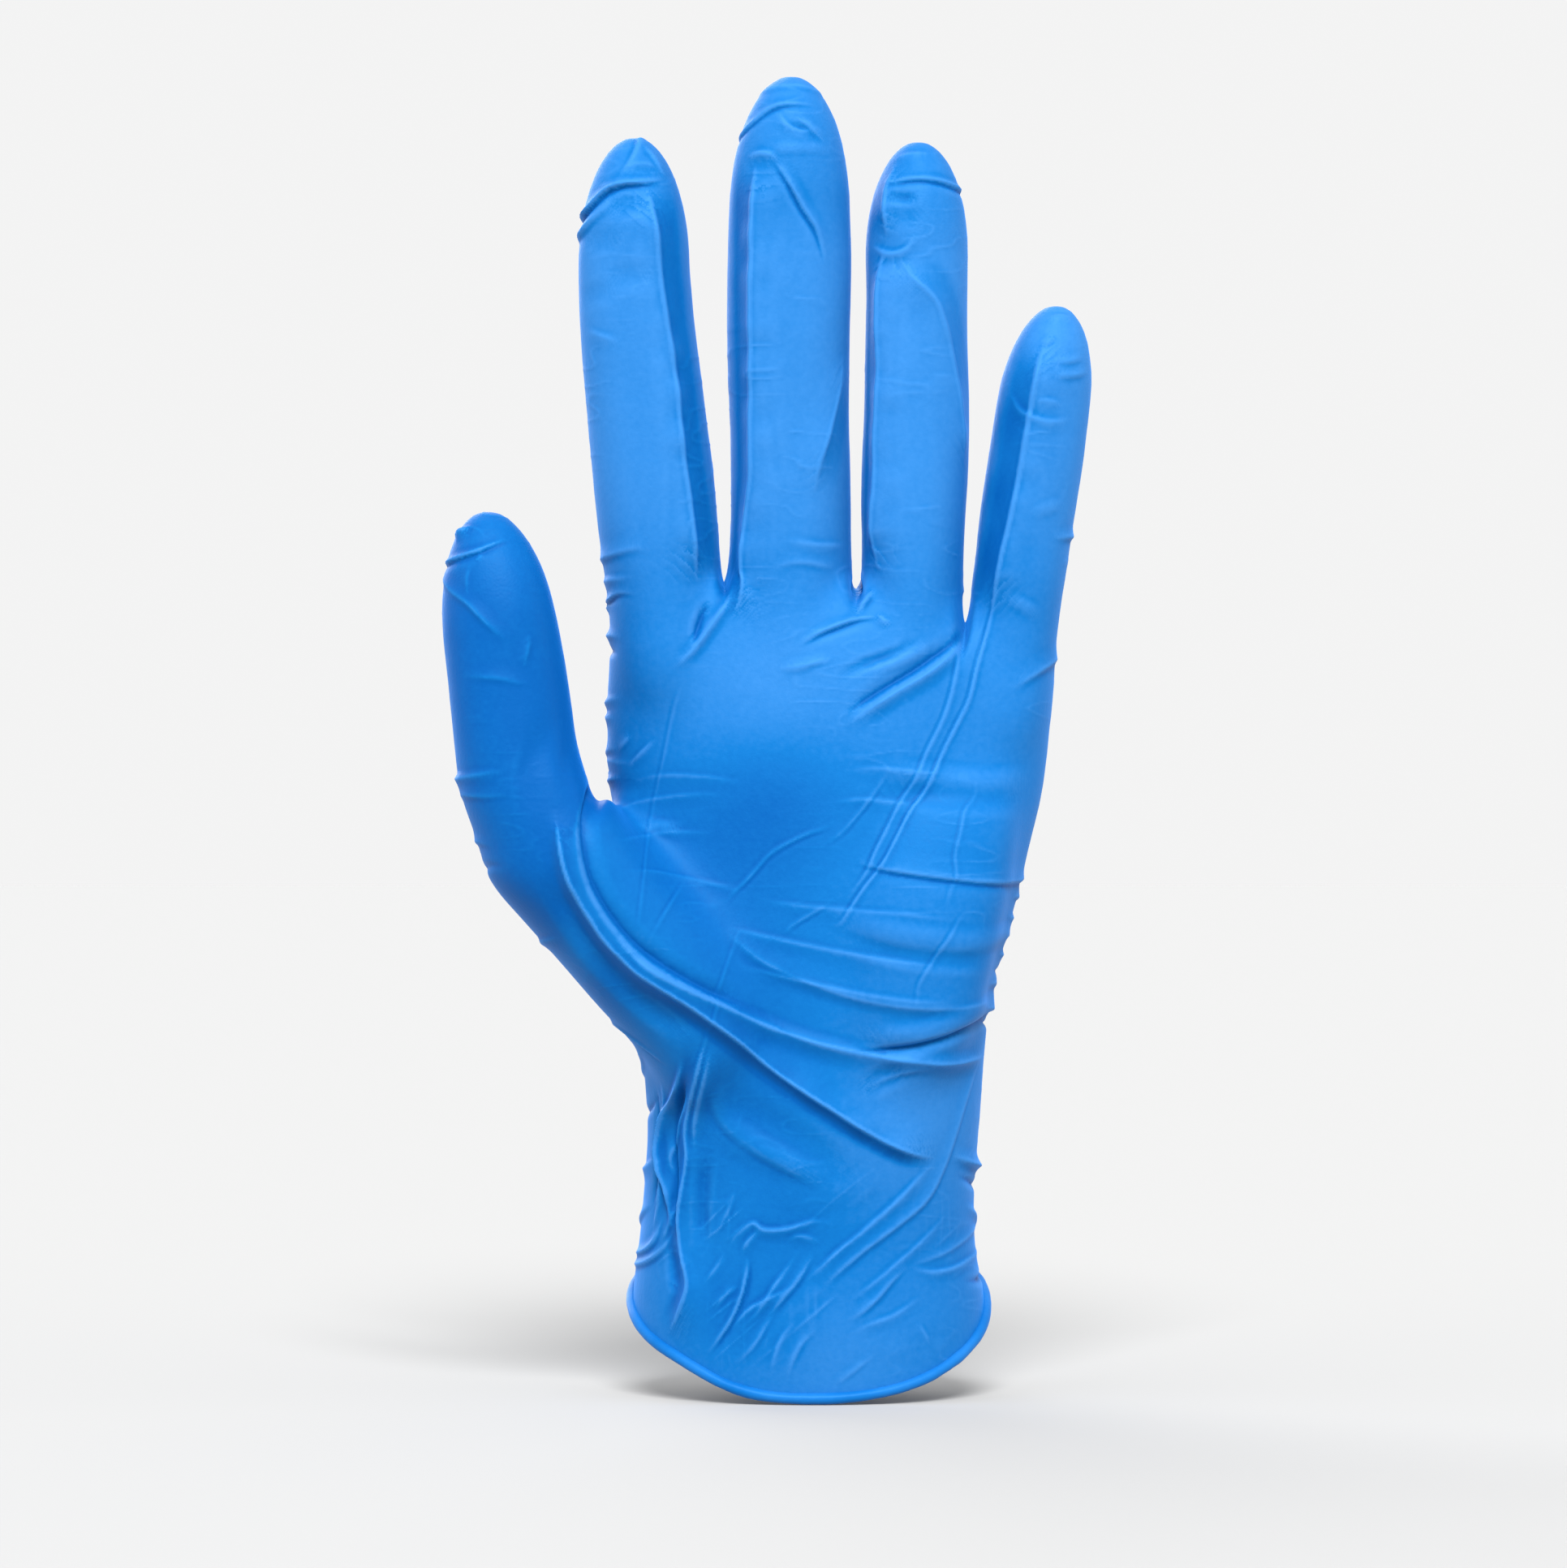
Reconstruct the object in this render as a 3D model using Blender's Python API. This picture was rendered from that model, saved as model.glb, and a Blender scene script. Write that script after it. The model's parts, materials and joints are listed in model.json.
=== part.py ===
"""A disposable nitrile examination glove in the shape it takes on a left hand, palm towards -Y.

The glove is one dipped film with a rolled bead round its mouth. The film is cut here into the zones
that stay in shape when the hand bends and the narrow flex zones between them that fold. A hinge
stands at each place where the worn glove folds: wrist, finger roots, finger joints and thumb.

Frame: origin at the centre of the cuff's mouth, +Z towards the fingertips, +X towards the little
finger, -Y out of the palm. Lengths in the tables are in millimetres, and the scene is in metres.
"""

import math

import bmesh
import bpy
from mathutils import Matrix, Vector

MM = 0.001

# Driving dimensions, mm
FILM = {"cuff": 0.08, "palm": 0.10, "finger": 0.12}
BEAD_RADIUS = 1.1
GAP = 0.3
FLEX_HALF_WIDTH = 1.5
FLEX_ENDING = "_flex_film"

# How the skin is made: the lofts' rings, the grid that joins them (mm), and how the result is thinned
RING_SIDES = 28
DOME_RINGS = 6
SQUARENESS = {"palm": 2.3, "finger": 2.05}
VOXEL = 1.1
SMOOTH_STEPS = 8
KEEP_FACES = 0.030
FLAT_WITHIN = 9.0
# Cuts run past a fold's pivot line by the first and take in corners nearer than the second, mm
CUT_OVERRUN = 0.6
SNAP = 0.05

# The rim of the mouth hangs lower on the palm side: height = RIM_SLOPE y + RIM_CURVE y^2
RIM_SLOPE = 0.60
RIM_CURVE = -0.0105
# The bead's own line round the mouth: left, right, front, back, mm, and how far it is below the edge
MOUTH_SIDES = (-32.0, 31.8, -21.4, 23.2)
BEAD_POINTS = 48
BEAD_DROP = 0.65

# Sections through the worn glove: height, left, right, front (palm), back, mm
PALM = [
    (-32, -32.5, 32.5, -18.5, 29.0),
    (-8, -32.4, 32.2, -22.0, 25.0),
    (2, -32.3, 31.4, -22.8, 23.5),
    (10, -31.4, 30.0, -23.3, 21.0),
    (20, -30.2, 29.4, -24.5, 17.5),
    (34, -29.2, 30.2, -26.5, 13.0),
    (48, -29.5, 30.9, -28.0, 9.0),
    (60, -30.2, 33.0, -28.8, 6.5),
    (76, -32.0, 37.4, -29.3, 4.6),
    (92, -34.4, 41.0, -28.8, 3.4),
    (104, -36.0, 42.6, -28.2, 2.8),
    (115, -36.4, 43.4, -27.4, 2.2),
    (122, -36.6, 38.0, -26.4, 1.4),
    (127, -36.4, 29.0, -25.0, 0.0),
    (131, -34.5, 18.0, -22.5, -3.0),
    (133.5, -28.0, 6.0, -18.0, -8.0),
]
THUMB = [
    (34, -24.0, -14.0, -22.0, -8.0),
    (40, -27.6, -10.0, -27.5, -4.0),
    (46, -31.0, -8.0, -31.5, -3.0),
    (54, -38.2, -9.0, -35.0, -4.5),
    (62, -45.0, -13.0, -37.5, -6.0),
    (70, -52.2, -19.0, -39.0, -8.0),
    (77, -58.0, -25.0, -40.0, -10.0),
    (84, -60.4, -31.0, -40.0, -11.5),
    (92, -63.2, -37.0, -39.8, -13.5),
    (99, -64.3, -42.6, -39.4, -15.5),
    (108, -65.3, -43.8, -39.2, -17.5),
    (118, -66.2, -45.2, -39.0, -19.0),
]
FINGERS = {
    "index": [
        (100, -30.0, -20.0, -20.0, -8.0),
        (112, -35.6, -15.0, -26.5, -1.5),
        (128, -37.0, -15.6, -26.0, -2.5),
        (140, -38.6, -16.6, -26.0, -4.2),
        (152, -39.8, -17.9, -26.3, -5.6),
        (166, -41.0, -19.7, -26.4, -6.8),
        (178, -41.8, -21.2, -26.4, -7.8),
        (187, -42.0, -21.9, -26.0, -8.6),
    ],
    "middle": [
        (100, -9.0, 3.0, -20.0, -6.0),
        (112, -15.0, 8.0, -27.2, 1.0),
        (130, -15.4, 7.5, -26.5, -1.2),
        (142, -14.4, 7.0, -26.5, -3.0),
        (156, -14.6, 6.8, -26.8, -4.6),
        (172, -15.2, 6.7, -27.0, -6.2),
        (186, -15.2, 7.1, -27.0, -7.4),
        (197, -14.9, 6.9, -26.6, -8.4),
    ],
    "ring": [
        (98, 12.0, 22.0, -20.0, -6.0),
        (110, 8.2, 26.6, -26.6, 0.2),
        (126, 8.6, 27.2, -26.0, -2.4),
        (138, 9.5, 27.6, -25.8, -4.2),
        (152, 9.7, 28.1, -25.8, -5.6),
        (166, 9.7, 28.3, -25.8, -6.8),
        (180, 9.8, 28.2, -25.6, -7.8),
        (190, 9.8, 28.1, -25.2, -8.6),
    ],
    "little": [
        (90, 29.0, 37.0, -20.0, -6.0),
        (104, 26.5, 42.2, -25.0, -1.5),
        (116, 27.6, 43.4, -24.4, -3.6),
        (128, 29.6, 45.0, -24.2, -5.6),
        (140, 30.8, 47.1, -24.0, -7.0),
        (152, 32.3, 49.2, -23.8, -8.0),
        (162, 33.9, 50.3, -23.4, -8.8),
    ],
}
TIPS = {
    "thumb": (-58.6, -29.5, 143.1),
    "index": (-31.6, -18.0, 211.5),
    "middle": (-3.6, -18.6, 221.6),
    "ring": (19.1, -17.6, 209.9),
    "little": (44.2, -16.8, 180.2),
}
# The fleshy edge of the palm under the little finger, as a second lobe on the palm's front
HEEL_PAD = [
    (36, 13.0, 19.0, -22.0, -16.0),
    (42, 8.0, 25.0, -27.0, -12.0),
    (52, 4.0, 30.0, -30.5, -10.0),
    (66, 3.0, 33.6, -32.4, -10.0),
    (80, 6.0, 36.6, -31.6, -10.0),
    (92, 11.0, 37.4, -28.6, -12.0),
    (101, 18.0, 33.0, -23.0, -16.0),
]
# Lines that part the fingers, little finger's side of each: x at height WEB_HEIGHT, and its lean
WEB_HEIGHT = 130.0
PARTINGS = {
    "middle": (-15.3, -0.05),
    "ring": (8.3, 0.0),
    "little": (28.2, 0.1),
}
FINGER_FLOOR = 116.0
THUMB_BOX = {"floor": 84.0, "top": 147.0, "right": -40.3}

# Hinges: pivot, direction of the part beyond it, direction it bends towards,
# and how far it bends that way and back, degrees
PALMWARD = (0.0, -1.0, 0.0)
HINGES = {
    "wrist": ((0.3, -8.0, 46.0), (0.0, 0.0, 1.0), PALMWARD, 45, 45),
    "thumb_root": ((-53.6, -27.4, 101.0), (-0.14, -0.03, 1.0), (0.7, -0.7, 0.0), 40, 8),
    "thumb_joint": ((-55.6, -28.6, 119.0), (-0.14, -0.03, 1.0), (0.7, -0.7, 0.0), 45, 5),
    "index_root": ((-27.6, -15.1, 140.5), (-0.085, -0.07, 1.0), PALMWARD, 60, 10),
    "index_middle_joint": ((-30.2, -16.5, 163.5), (-0.075, -0.05, 1.0), PALMWARD, 80, 0),
    "index_end_joint": ((-31.8, -17.2, 186.0), (-0.02, -0.04, 1.0), PALMWARD, 52, 0),
    "middle_root": ((-3.6, -14.8, 141.5), (0.0, -0.07, 1.0), PALMWARD, 60, 10),
    "middle_middle_joint": ((-4.0, -16.3, 167.5), (0.0, -0.05, 1.0), PALMWARD, 80, 0),
    "middle_end_joint": ((-4.0, -17.3, 194.0), (0.0, -0.04, 1.0), PALMWARD, 52, 0),
    "ring_root": ((18.5, -15.0, 139.0), (0.01, -0.07, 1.0), PALMWARD, 60, 10),
    "ring_middle_joint": ((18.6, -16.2, 162.0), (0.01, -0.05, 1.0), PALMWARD, 80, 0),
    "ring_end_joint": ((18.9, -16.9, 186.0), (0.01, -0.04, 1.0), PALMWARD, 52, 0),
    "little_root": ((37.2, -14.9, 129.5), (0.14, -0.06, 1.0), PALMWARD, 60, 10),
    "little_middle_joint": ((39.9, -15.7, 147.0), (0.15, -0.05, 1.0), PALMWARD, 80, 0),
    "little_end_joint": ((42.1, -16.3, 163.5), (0.12, -0.04, 1.0), PALMWARD, 52, 0),
}
NITRILE = {
    "film": (0.055, 0.27, 0.78, 1.0),
    "bead": (0.04, 0.24, 0.80, 1.0),
}


def clear_scene():
    for obj in list(bpy.data.objects):
        bpy.data.objects.remove(obj)


def nitrile(name, colour, roughness):
    """Blue nitrile rubber."""
    material = bpy.data.materials.new(name)
    material.use_nodes = True
    shader = material.node_tree.nodes["Principled BSDF"]
    shader.inputs["Base Color"].default_value = colour
    shader.inputs["Roughness"].default_value = roughness
    shader.inputs["Metallic"].default_value = 0.0
    return material


def section_point(angle, kind, left, right, front, back):
    """A point of a rounded-rectangle section, a superellipse between its four sides."""
    c, s = math.cos(angle), math.sin(angle)
    x = math.copysign(abs(c) ** (2 / SQUARENESS[kind]), c)
    y = math.copysign(abs(s) ** (2 / SQUARENESS[kind]), s)
    return (left + right) / 2 + x * (right - left) / 2, (front + back) / 2 + y * (back - front) / 2


def spline_between(before, first, second, after, t):
    """Catmull-Rom interpolation of two neighbouring sections, number by number."""
    return tuple(
        0.5 * (2 * b + (c - a) * t + (2 * a - 5 * b + 4 * c - d) * t**2 + (3 * b - a - 3 * c + d) * t**3)
        for a, b, c, d in zip(before, first, second, after)
    )


def refined(sections, between=3):
    """The sections with smooth ones added between them."""
    padded = [sections[0], *sections, sections[-1]]
    found = []
    for i in range(1, len(padded) - 2):
        for k in range(between):
            found.append(spline_between(*padded[i - 1 : i + 3], k / between))
    found.append(sections[-1])
    return found


def with_dome(sections, tip):
    """The sections closed by a fingertip, an ellipse in profile that ends at tip."""
    height, left, right, front, back = sections[-1]
    centre_x, centre_y = (left + right) / 2, (front + back) / 2
    found = list(sections)
    for k in range(1, DOME_RINGS):
        turn = 0.5 * math.pi * k / DOME_RINGS
        shrink, rise = math.cos(turn), math.sin(turn)
        x = centre_x + (tip[0] - centre_x) * rise
        y = centre_y + (tip[1] - centre_y) * rise
        half_x, half_y = shrink * (right - left) / 2, shrink * (back - front) / 2
        found.append((height + (tip[2] - height) * rise, x - half_x, x + half_x, y - half_y, y + half_y))
    return found


def add_loft(mesh, kind, sections):
    """Adds a closed skin through the sections, bottom to top, to a bmesh."""
    rings = []
    for height, *sides in sections:
        ring = []
        for k in range(RING_SIDES):
            x, y = section_point(2 * math.pi * k / RING_SIDES, kind, *sides)
            ring.append(mesh.verts.new((x * MM, y * MM, height * MM)))
        rings.append(ring)
    for low, high in zip(rings, rings[1:]):
        for k in range(RING_SIDES):
            after = (k + 1) % RING_SIDES
            mesh.faces.new((low[k], low[after], high[after], high[k]))
    mesh.faces.new(list(reversed(rings[0])))
    mesh.faces.new(rings[-1])


def object_of(name, mesh):
    data = bpy.data.meshes.new(name)
    mesh.to_mesh(data)
    mesh.free()
    obj = bpy.data.objects.new(name, data)
    bpy.context.scene.collection.objects.link(obj)
    return obj


def hand_form():
    """The outer surface of the worn glove as one closed bmesh: lofts joined, evened out and thinned."""
    mesh = bmesh.new()
    add_loft(mesh, "palm", refined(PALM))
    add_loft(mesh, "palm", refined(HEEL_PAD))
    add_loft(mesh, "palm", with_dome(refined(THUMB), TIPS["thumb"]))
    for finger, sections in FINGERS.items():
        add_loft(mesh, "finger", with_dome(refined(sections), TIPS[finger]))
    form = object_of("hand_form", mesh)
    remesh = form.modifiers.new("union", "REMESH")
    remesh.mode = "VOXEL"
    remesh.voxel_size = VOXEL * MM
    smooth = form.modifiers.new("webs", "SMOOTH")
    smooth.factor = 0.5
    smooth.iterations = SMOOTH_STEPS
    thin = form.modifiers.new("thin", "DECIMATE")
    thin.ratio = KEEP_FACES
    bpy.context.view_layer.update()
    graph = bpy.context.evaluated_depsgraph_get()
    result = bmesh.new()
    result.from_mesh(form.evaluated_get(graph).to_mesh())
    bpy.data.objects.remove(form)
    bmesh.ops.triangulate(result, faces=result.faces)
    return result


def rim_height(y):
    """Height of the mouth's rim at depth y, in metres."""
    return RIM_SLOPE * y + RIM_CURVE / MM * y * y


def trim_mouth(mesh):
    """Opens the form along the curved rim."""
    for vert in mesh.verts:
        vert.co.z -= rim_height(vert.co.y)
    cut_at = (BEAD_RADIUS - 0.3) * MM
    everything = [*mesh.verts, *mesh.edges, *mesh.faces]
    bmesh.ops.bisect_plane(
        mesh, geom=everything, plane_co=(0, 0, cut_at), plane_no=(0, 0, 1), clear_inner=True
    )
    for vert in mesh.verts:
        vert.co.z += rim_height(vert.co.y)


class Hinge:
    """One fold line, with the wedges that its two sides keep clear of so that they can swing."""

    def __init__(self, name):
        pivot, along, towards, bend, back = HINGES[name]
        self.pivot = Vector(pivot) * MM
        self.along = Vector(along).normalized()
        self.axis = self.along.cross(Vector(towards)).normalized()
        self.towards = self.axis.cross(self.along).normalized()
        self.bend = math.tan(math.radians(bend / 2))
        self.back = math.tan(math.radians(back / 2))

    def planes(self, side):
        """The two plane normals, each pointing into the part on that side: 1 beyond, -1 before."""
        return [
            side * self.along - self.bend * self.towards,
            side * self.along + self.back * self.towards,
        ]

    def clearance(self, point, side):
        """How far the point is into the wedge that the part on that side may fill, in metres."""
        offset = point - self.pivot
        return min(offset.dot(normal) for normal in self.planes(side))

    def cut(self, mesh, chosen):
        """Splits the chosen faces along the edges of the two parts, each plane on its own side."""
        for side in (1, -1):
            for normal, facing in zip(self.planes(side), (1, -1)):

                def wanted(face):
                    inward = [facing * (v.co - self.pivot).dot(self.towards) for v in face.verts]
                    return max(inward) > -CUT_OVERRUN * MM and chosen(face.calc_center_median())

                faces = [f for f in mesh.faces if wanted(f)]
                corners = {v for f in faces for v in f.verts}
                edges = {e for f in faces for e in f.edges}
                place = self.pivot + normal * (FLEX_HALF_WIDTH * MM / normal.length_squared)
                bmesh.ops.bisect_plane(
                    mesh, geom=[*corners, *edges, *faces], plane_co=place, plane_no=normal, dist=SNAP * MM
                )

    def side_of(self, point):
        """'beyond', 'before' or, in the film that folds between them, 'flex'."""
        reach = FLEX_HALF_WIDTH * MM
        if self.clearance(point, 1) > reach:
            return "beyond"
        return "before" if self.clearance(point, -1) > reach else "flex"

    def draw_in(self, mesh):
        """Moves the open edges of a flex film in by the gap, clear of the two parts beside it."""
        reach = (FLEX_HALF_WIDTH - GAP) * MM
        for vert in [v for v in mesh.verts if v.is_boundary]:
            for side in (1, -1):
                excess = self.clearance(vert.co, side) - reach
                if excess > 0:
                    normal = min(self.planes(side), key=(vert.co - self.pivot).dot)
                    vert.co -= normal * (excess / normal.length_squared)


def digit_at(point):
    """The digit whose film, or whose root, holds this point of the surface, or None on the palm."""
    x, z = point.x / MM, point.z / MM
    if THUMB_BOX["floor"] < z < THUMB_BOX["top"] and x < THUMB_BOX["right"]:
        return "thumb"
    if z < FINGER_FLOOR:
        return None
    found = "index"
    for finger, (place, lean) in PARTINGS.items():
        if x > place + lean * (z - WEB_HEIGHT):
            found = finger
    return found


def near_wrist(point):
    return point.z < 75.0 * MM


# Each digit's hinges from root to tip, and the zone beyond each
DIGITS = {
    finger: [
        (f"{finger}_root", "proximal"),
        (f"{finger}_middle_joint", "middle"),
        (f"{finger}_end_joint", "tip"),
    ]
    for finger in FINGERS
}
DIGITS["thumb"] = [("thumb_root", "proximal"), ("thumb_joint", "tip")]


def zone_of(point, hinges):
    """The name of the film zone that a point of the surface lies in."""
    wrist = hinges["wrist"].side_of(point)
    if near_wrist(point) and wrist != "beyond":
        return {"before": "cuff_sleeve", "flex": "wrist" + FLEX_ENDING}[wrist]
    place, digit = "palm_sleeve", digit_at(point)
    for name, zone in DIGITS.get(digit, []):
        side = hinges[name].side_of(point)
        if side == "before":
            break
        if side == "flex":
            return name + FLEX_ENDING
        place = f"{digit}_{zone}_sleeve"
    return place


def film_thickness(zone):
    kind = "finger"
    if zone in ("cuff_sleeve", "wrist" + FLEX_ENDING):
        kind = "cuff"
    elif zone == "palm_sleeve":
        kind = "palm"
    return FILM[kind] * MM


def origin_of(zone, hinges):
    """The pivot of the hinge that moves the zone, or the frame's origin for the cuff."""
    if zone.endswith(FLEX_ENDING):
        return hinges[zone.removesuffix(FLEX_ENDING)].pivot
    if zone == "palm_sleeve":
        return hinges["wrist"].pivot
    for digit, steps in DIGITS.items():
        for name, part in steps:
            if zone == f"{digit}_{part}_sleeve":
                return hinges[name].pivot
    return Vector((0, 0, 0))


def place_origin(obj, origin):
    """Puts the object's own origin at a point, and leaves its shape where it is."""
    obj.data.transform(Matrix.Translation(-origin))
    obj.location = origin


def make_zones(form, hinges, material):
    """Cuts the form into its zones and gives each the thickness of the film."""
    hinges["wrist"].cut(form, near_wrist)
    for digit, steps in DIGITS.items():
        for name, _ in steps:
            hinges[name].cut(form, lambda point: digit_at(point) == digit)
    form.faces.index_update()
    members = {}
    for face in form.faces:
        zone = zone_of(face.calc_center_median(), hinges)
        members.setdefault(zone, set()).add(face.index)
    for zone in sorted(members):
        skin = form.copy()
        others = [f for f in skin.faces if f.index not in members[zone]]
        bmesh.ops.delete(skin, geom=others, context="FACES")
        keep_largest(skin)
        bmesh.ops.dissolve_limit(
            skin, angle_limit=math.radians(FLAT_WITHIN), verts=skin.verts, edges=skin.edges
        )
        bmesh.ops.triangulate(skin, faces=skin.faces)
        if zone.endswith(FLEX_ENDING):
            hinges[zone.removesuffix(FLEX_ENDING)].draw_in(skin)
        obj = object_of(zone, skin)
        place_origin(obj, origin_of(zone, hinges))
        film = obj.modifiers.new("film", "SOLIDIFY")
        film.thickness = film_thickness(zone)
        film.offset = -1.0
        film.use_even_offset = False
        film.use_rim = True
        obj.data.materials.append(material)
        obj.data.shade_smooth()
        obj.data.set_sharp_from_angle(angle=math.radians(50))


def keep_largest(mesh):
    """Deletes the slivers that cutting leaves apart from a zone's main piece."""
    waiting, islands = set(mesh.faces), []
    while waiting:
        stack = [waiting.pop()]
        island = set(stack)
        while stack:
            for edge in stack.pop().edges:
                for face in edge.link_faces:
                    if face in waiting:
                        waiting.discard(face)
                        island.add(face)
                        stack.append(face)
        islands.append(island)
    islands.sort(key=lambda faces: sum(f.calc_area() for f in faces))
    spare = [f for island in islands[:-1] for f in island]
    bmesh.ops.delete(mesh, geom=spare, context="FACES")


def make_bead(material):
    """The rolled bead round the mouth: a round ring just below the cuff's edge."""
    curve = bpy.data.curves.new("rolled_bead", "CURVE")
    curve.dimensions = "3D"
    curve.bevel_depth = BEAD_RADIUS * MM
    curve.bevel_resolution = 2
    spline = curve.splines.new("POLY")
    spline.points.add(BEAD_POINTS - 1)
    spline.use_cyclic_u = True
    for k, point in enumerate(spline.points):
        x, y = section_point(2 * math.pi * k / BEAD_POINTS, "palm", *MOUTH_SIDES)
        point.co = (x * MM, y * MM, rim_height(y * MM) - BEAD_DROP * MM, 1.0)
    bead = bpy.data.objects.new("rolled_bead", curve)
    bpy.context.scene.collection.objects.link(bead)
    curve.materials.append(material)


def main():
    clear_scene()
    hinges = {name: Hinge(name) for name in HINGES}
    form = hand_form()
    trim_mouth(form)
    make_zones(form, hinges, nitrile("nitrile_film", NITRILE["film"], 0.42))
    form.free()
    make_bead(nitrile("nitrile_bead", NITRILE["bead"], 0.35))


main()
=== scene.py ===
import json
import math

import bmesh
import bpy
import numpy as np
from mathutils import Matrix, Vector
from mathutils.bvhtree import BVHTree


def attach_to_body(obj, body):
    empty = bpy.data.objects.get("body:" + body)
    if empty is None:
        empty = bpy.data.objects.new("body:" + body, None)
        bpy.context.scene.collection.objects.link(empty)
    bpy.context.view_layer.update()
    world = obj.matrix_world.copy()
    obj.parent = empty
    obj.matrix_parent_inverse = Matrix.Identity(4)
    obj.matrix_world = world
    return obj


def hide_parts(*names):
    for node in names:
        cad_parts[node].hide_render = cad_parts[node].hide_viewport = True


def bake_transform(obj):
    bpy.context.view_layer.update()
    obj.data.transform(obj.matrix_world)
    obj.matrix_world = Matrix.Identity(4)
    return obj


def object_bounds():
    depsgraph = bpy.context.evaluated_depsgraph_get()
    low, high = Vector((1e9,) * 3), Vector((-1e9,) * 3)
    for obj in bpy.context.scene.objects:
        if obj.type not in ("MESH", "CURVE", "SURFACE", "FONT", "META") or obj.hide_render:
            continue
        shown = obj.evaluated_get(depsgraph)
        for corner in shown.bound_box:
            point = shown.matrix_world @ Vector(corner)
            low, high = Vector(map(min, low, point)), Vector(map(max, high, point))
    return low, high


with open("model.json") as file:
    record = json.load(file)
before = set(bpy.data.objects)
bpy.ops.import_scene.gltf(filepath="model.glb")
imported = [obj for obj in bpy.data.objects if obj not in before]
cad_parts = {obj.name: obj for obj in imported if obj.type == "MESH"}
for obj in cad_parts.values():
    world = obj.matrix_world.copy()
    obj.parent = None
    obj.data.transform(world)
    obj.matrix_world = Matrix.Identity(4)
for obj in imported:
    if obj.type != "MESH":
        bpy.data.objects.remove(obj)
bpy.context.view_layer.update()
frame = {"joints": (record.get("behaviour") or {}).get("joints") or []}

# Lengths in this script are in mm, and MM turns them into metres when a mesh is made
MM = 0.001
FILM_THICKNESS = 0.14
# The grain of the one surface that the lofts are joined into, and the rounds that smooth its webs
VOXEL = 0.7
WEB_SMOOTHING = 9
# How finely the lofts are drawn
RING_SIDES = 64
DOME_RINGS = 12
ROWS_BETWEEN = 4
# The powers of the sections' superellipses: 2 is an ellipse, and more is squarer
SQUARENESS = {"palm": 2.3, "finger": 2.05}

# The rim of the mouth hangs lower on the palm side: height = RIM_SLOPE y + RIM_CURVE y^2, mm
RIM_SLOPE = 0.545
RIM_CURVE = -0.0105
# The bead's radius, how far its middle stands out from the film's edge, and how finely it is drawn
BEAD_RADIUS = 1.02
BEAD_OFFSET = 0.25
BEAD_POINTS = 300
BEAD_SIDES = 20
BEAD_SMOOTHING = 6

# Sections through the worn glove: height, left, right, front (palm), back, mm
PALM = [
    (-32, -32.5, 32.5, -18.5, 29.0),
    (-8, -32.4, 32.2, -22.0, 25.0),
    (2, -32.3, 31.4, -22.8, 23.5),
    (10, -31.4, 30.0, -23.3, 21.0),
    (20, -30.5, 29.8, -24.5, 17.5),
    (34, -30.0, 31.0, -26.5, 13.0),
    (48, -31.0, 31.7, -28.0, 9.0),
    (60, -31.0, 33.8, -28.8, 6.5),
    (76, -32.6, 38.2, -29.3, 4.6),
    (92, -36.6, 41.8, -28.8, 3.4),
    (104, -37.4, 43.2, -28.2, 2.8),
    (115, -37.0, 43.9, -27.4, 2.2),
    (122, -36.6, 38.4, -26.4, 1.4),
    (127, -36.4, 29.0, -25.0, 0.0),
    (131, -34.5, 18.0, -22.5, -3.0),
    (133.5, -28.0, 6.0, -18.0, -8.0),
]
THUMB = [
    (34, -24.0, -14.0, -22.0, -8.0),
    (40, -27.6, -10.0, -27.5, -4.0),
    (46, -31.0, -8.0, -31.5, -3.0),
    (54, -38.2, -9.0, -35.0, -4.5),
    (62, -45.0, -13.0, -37.5, -6.0),
    (70, -51.8, -18.6, -39.0, -8.0),
    (77, -57.4, -24.6, -40.0, -10.0),
    (84, -59.8, -30.4, -40.0, -11.5),
    (92, -62.5, -35.8, -39.8, -13.5),
    (99, -63.5, -41.2, -39.4, -15.5),
    (108, -64.4, -42.7, -39.2, -17.5),
    (118, -65.4, -44.2, -39.0, -19.0),
]
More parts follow.
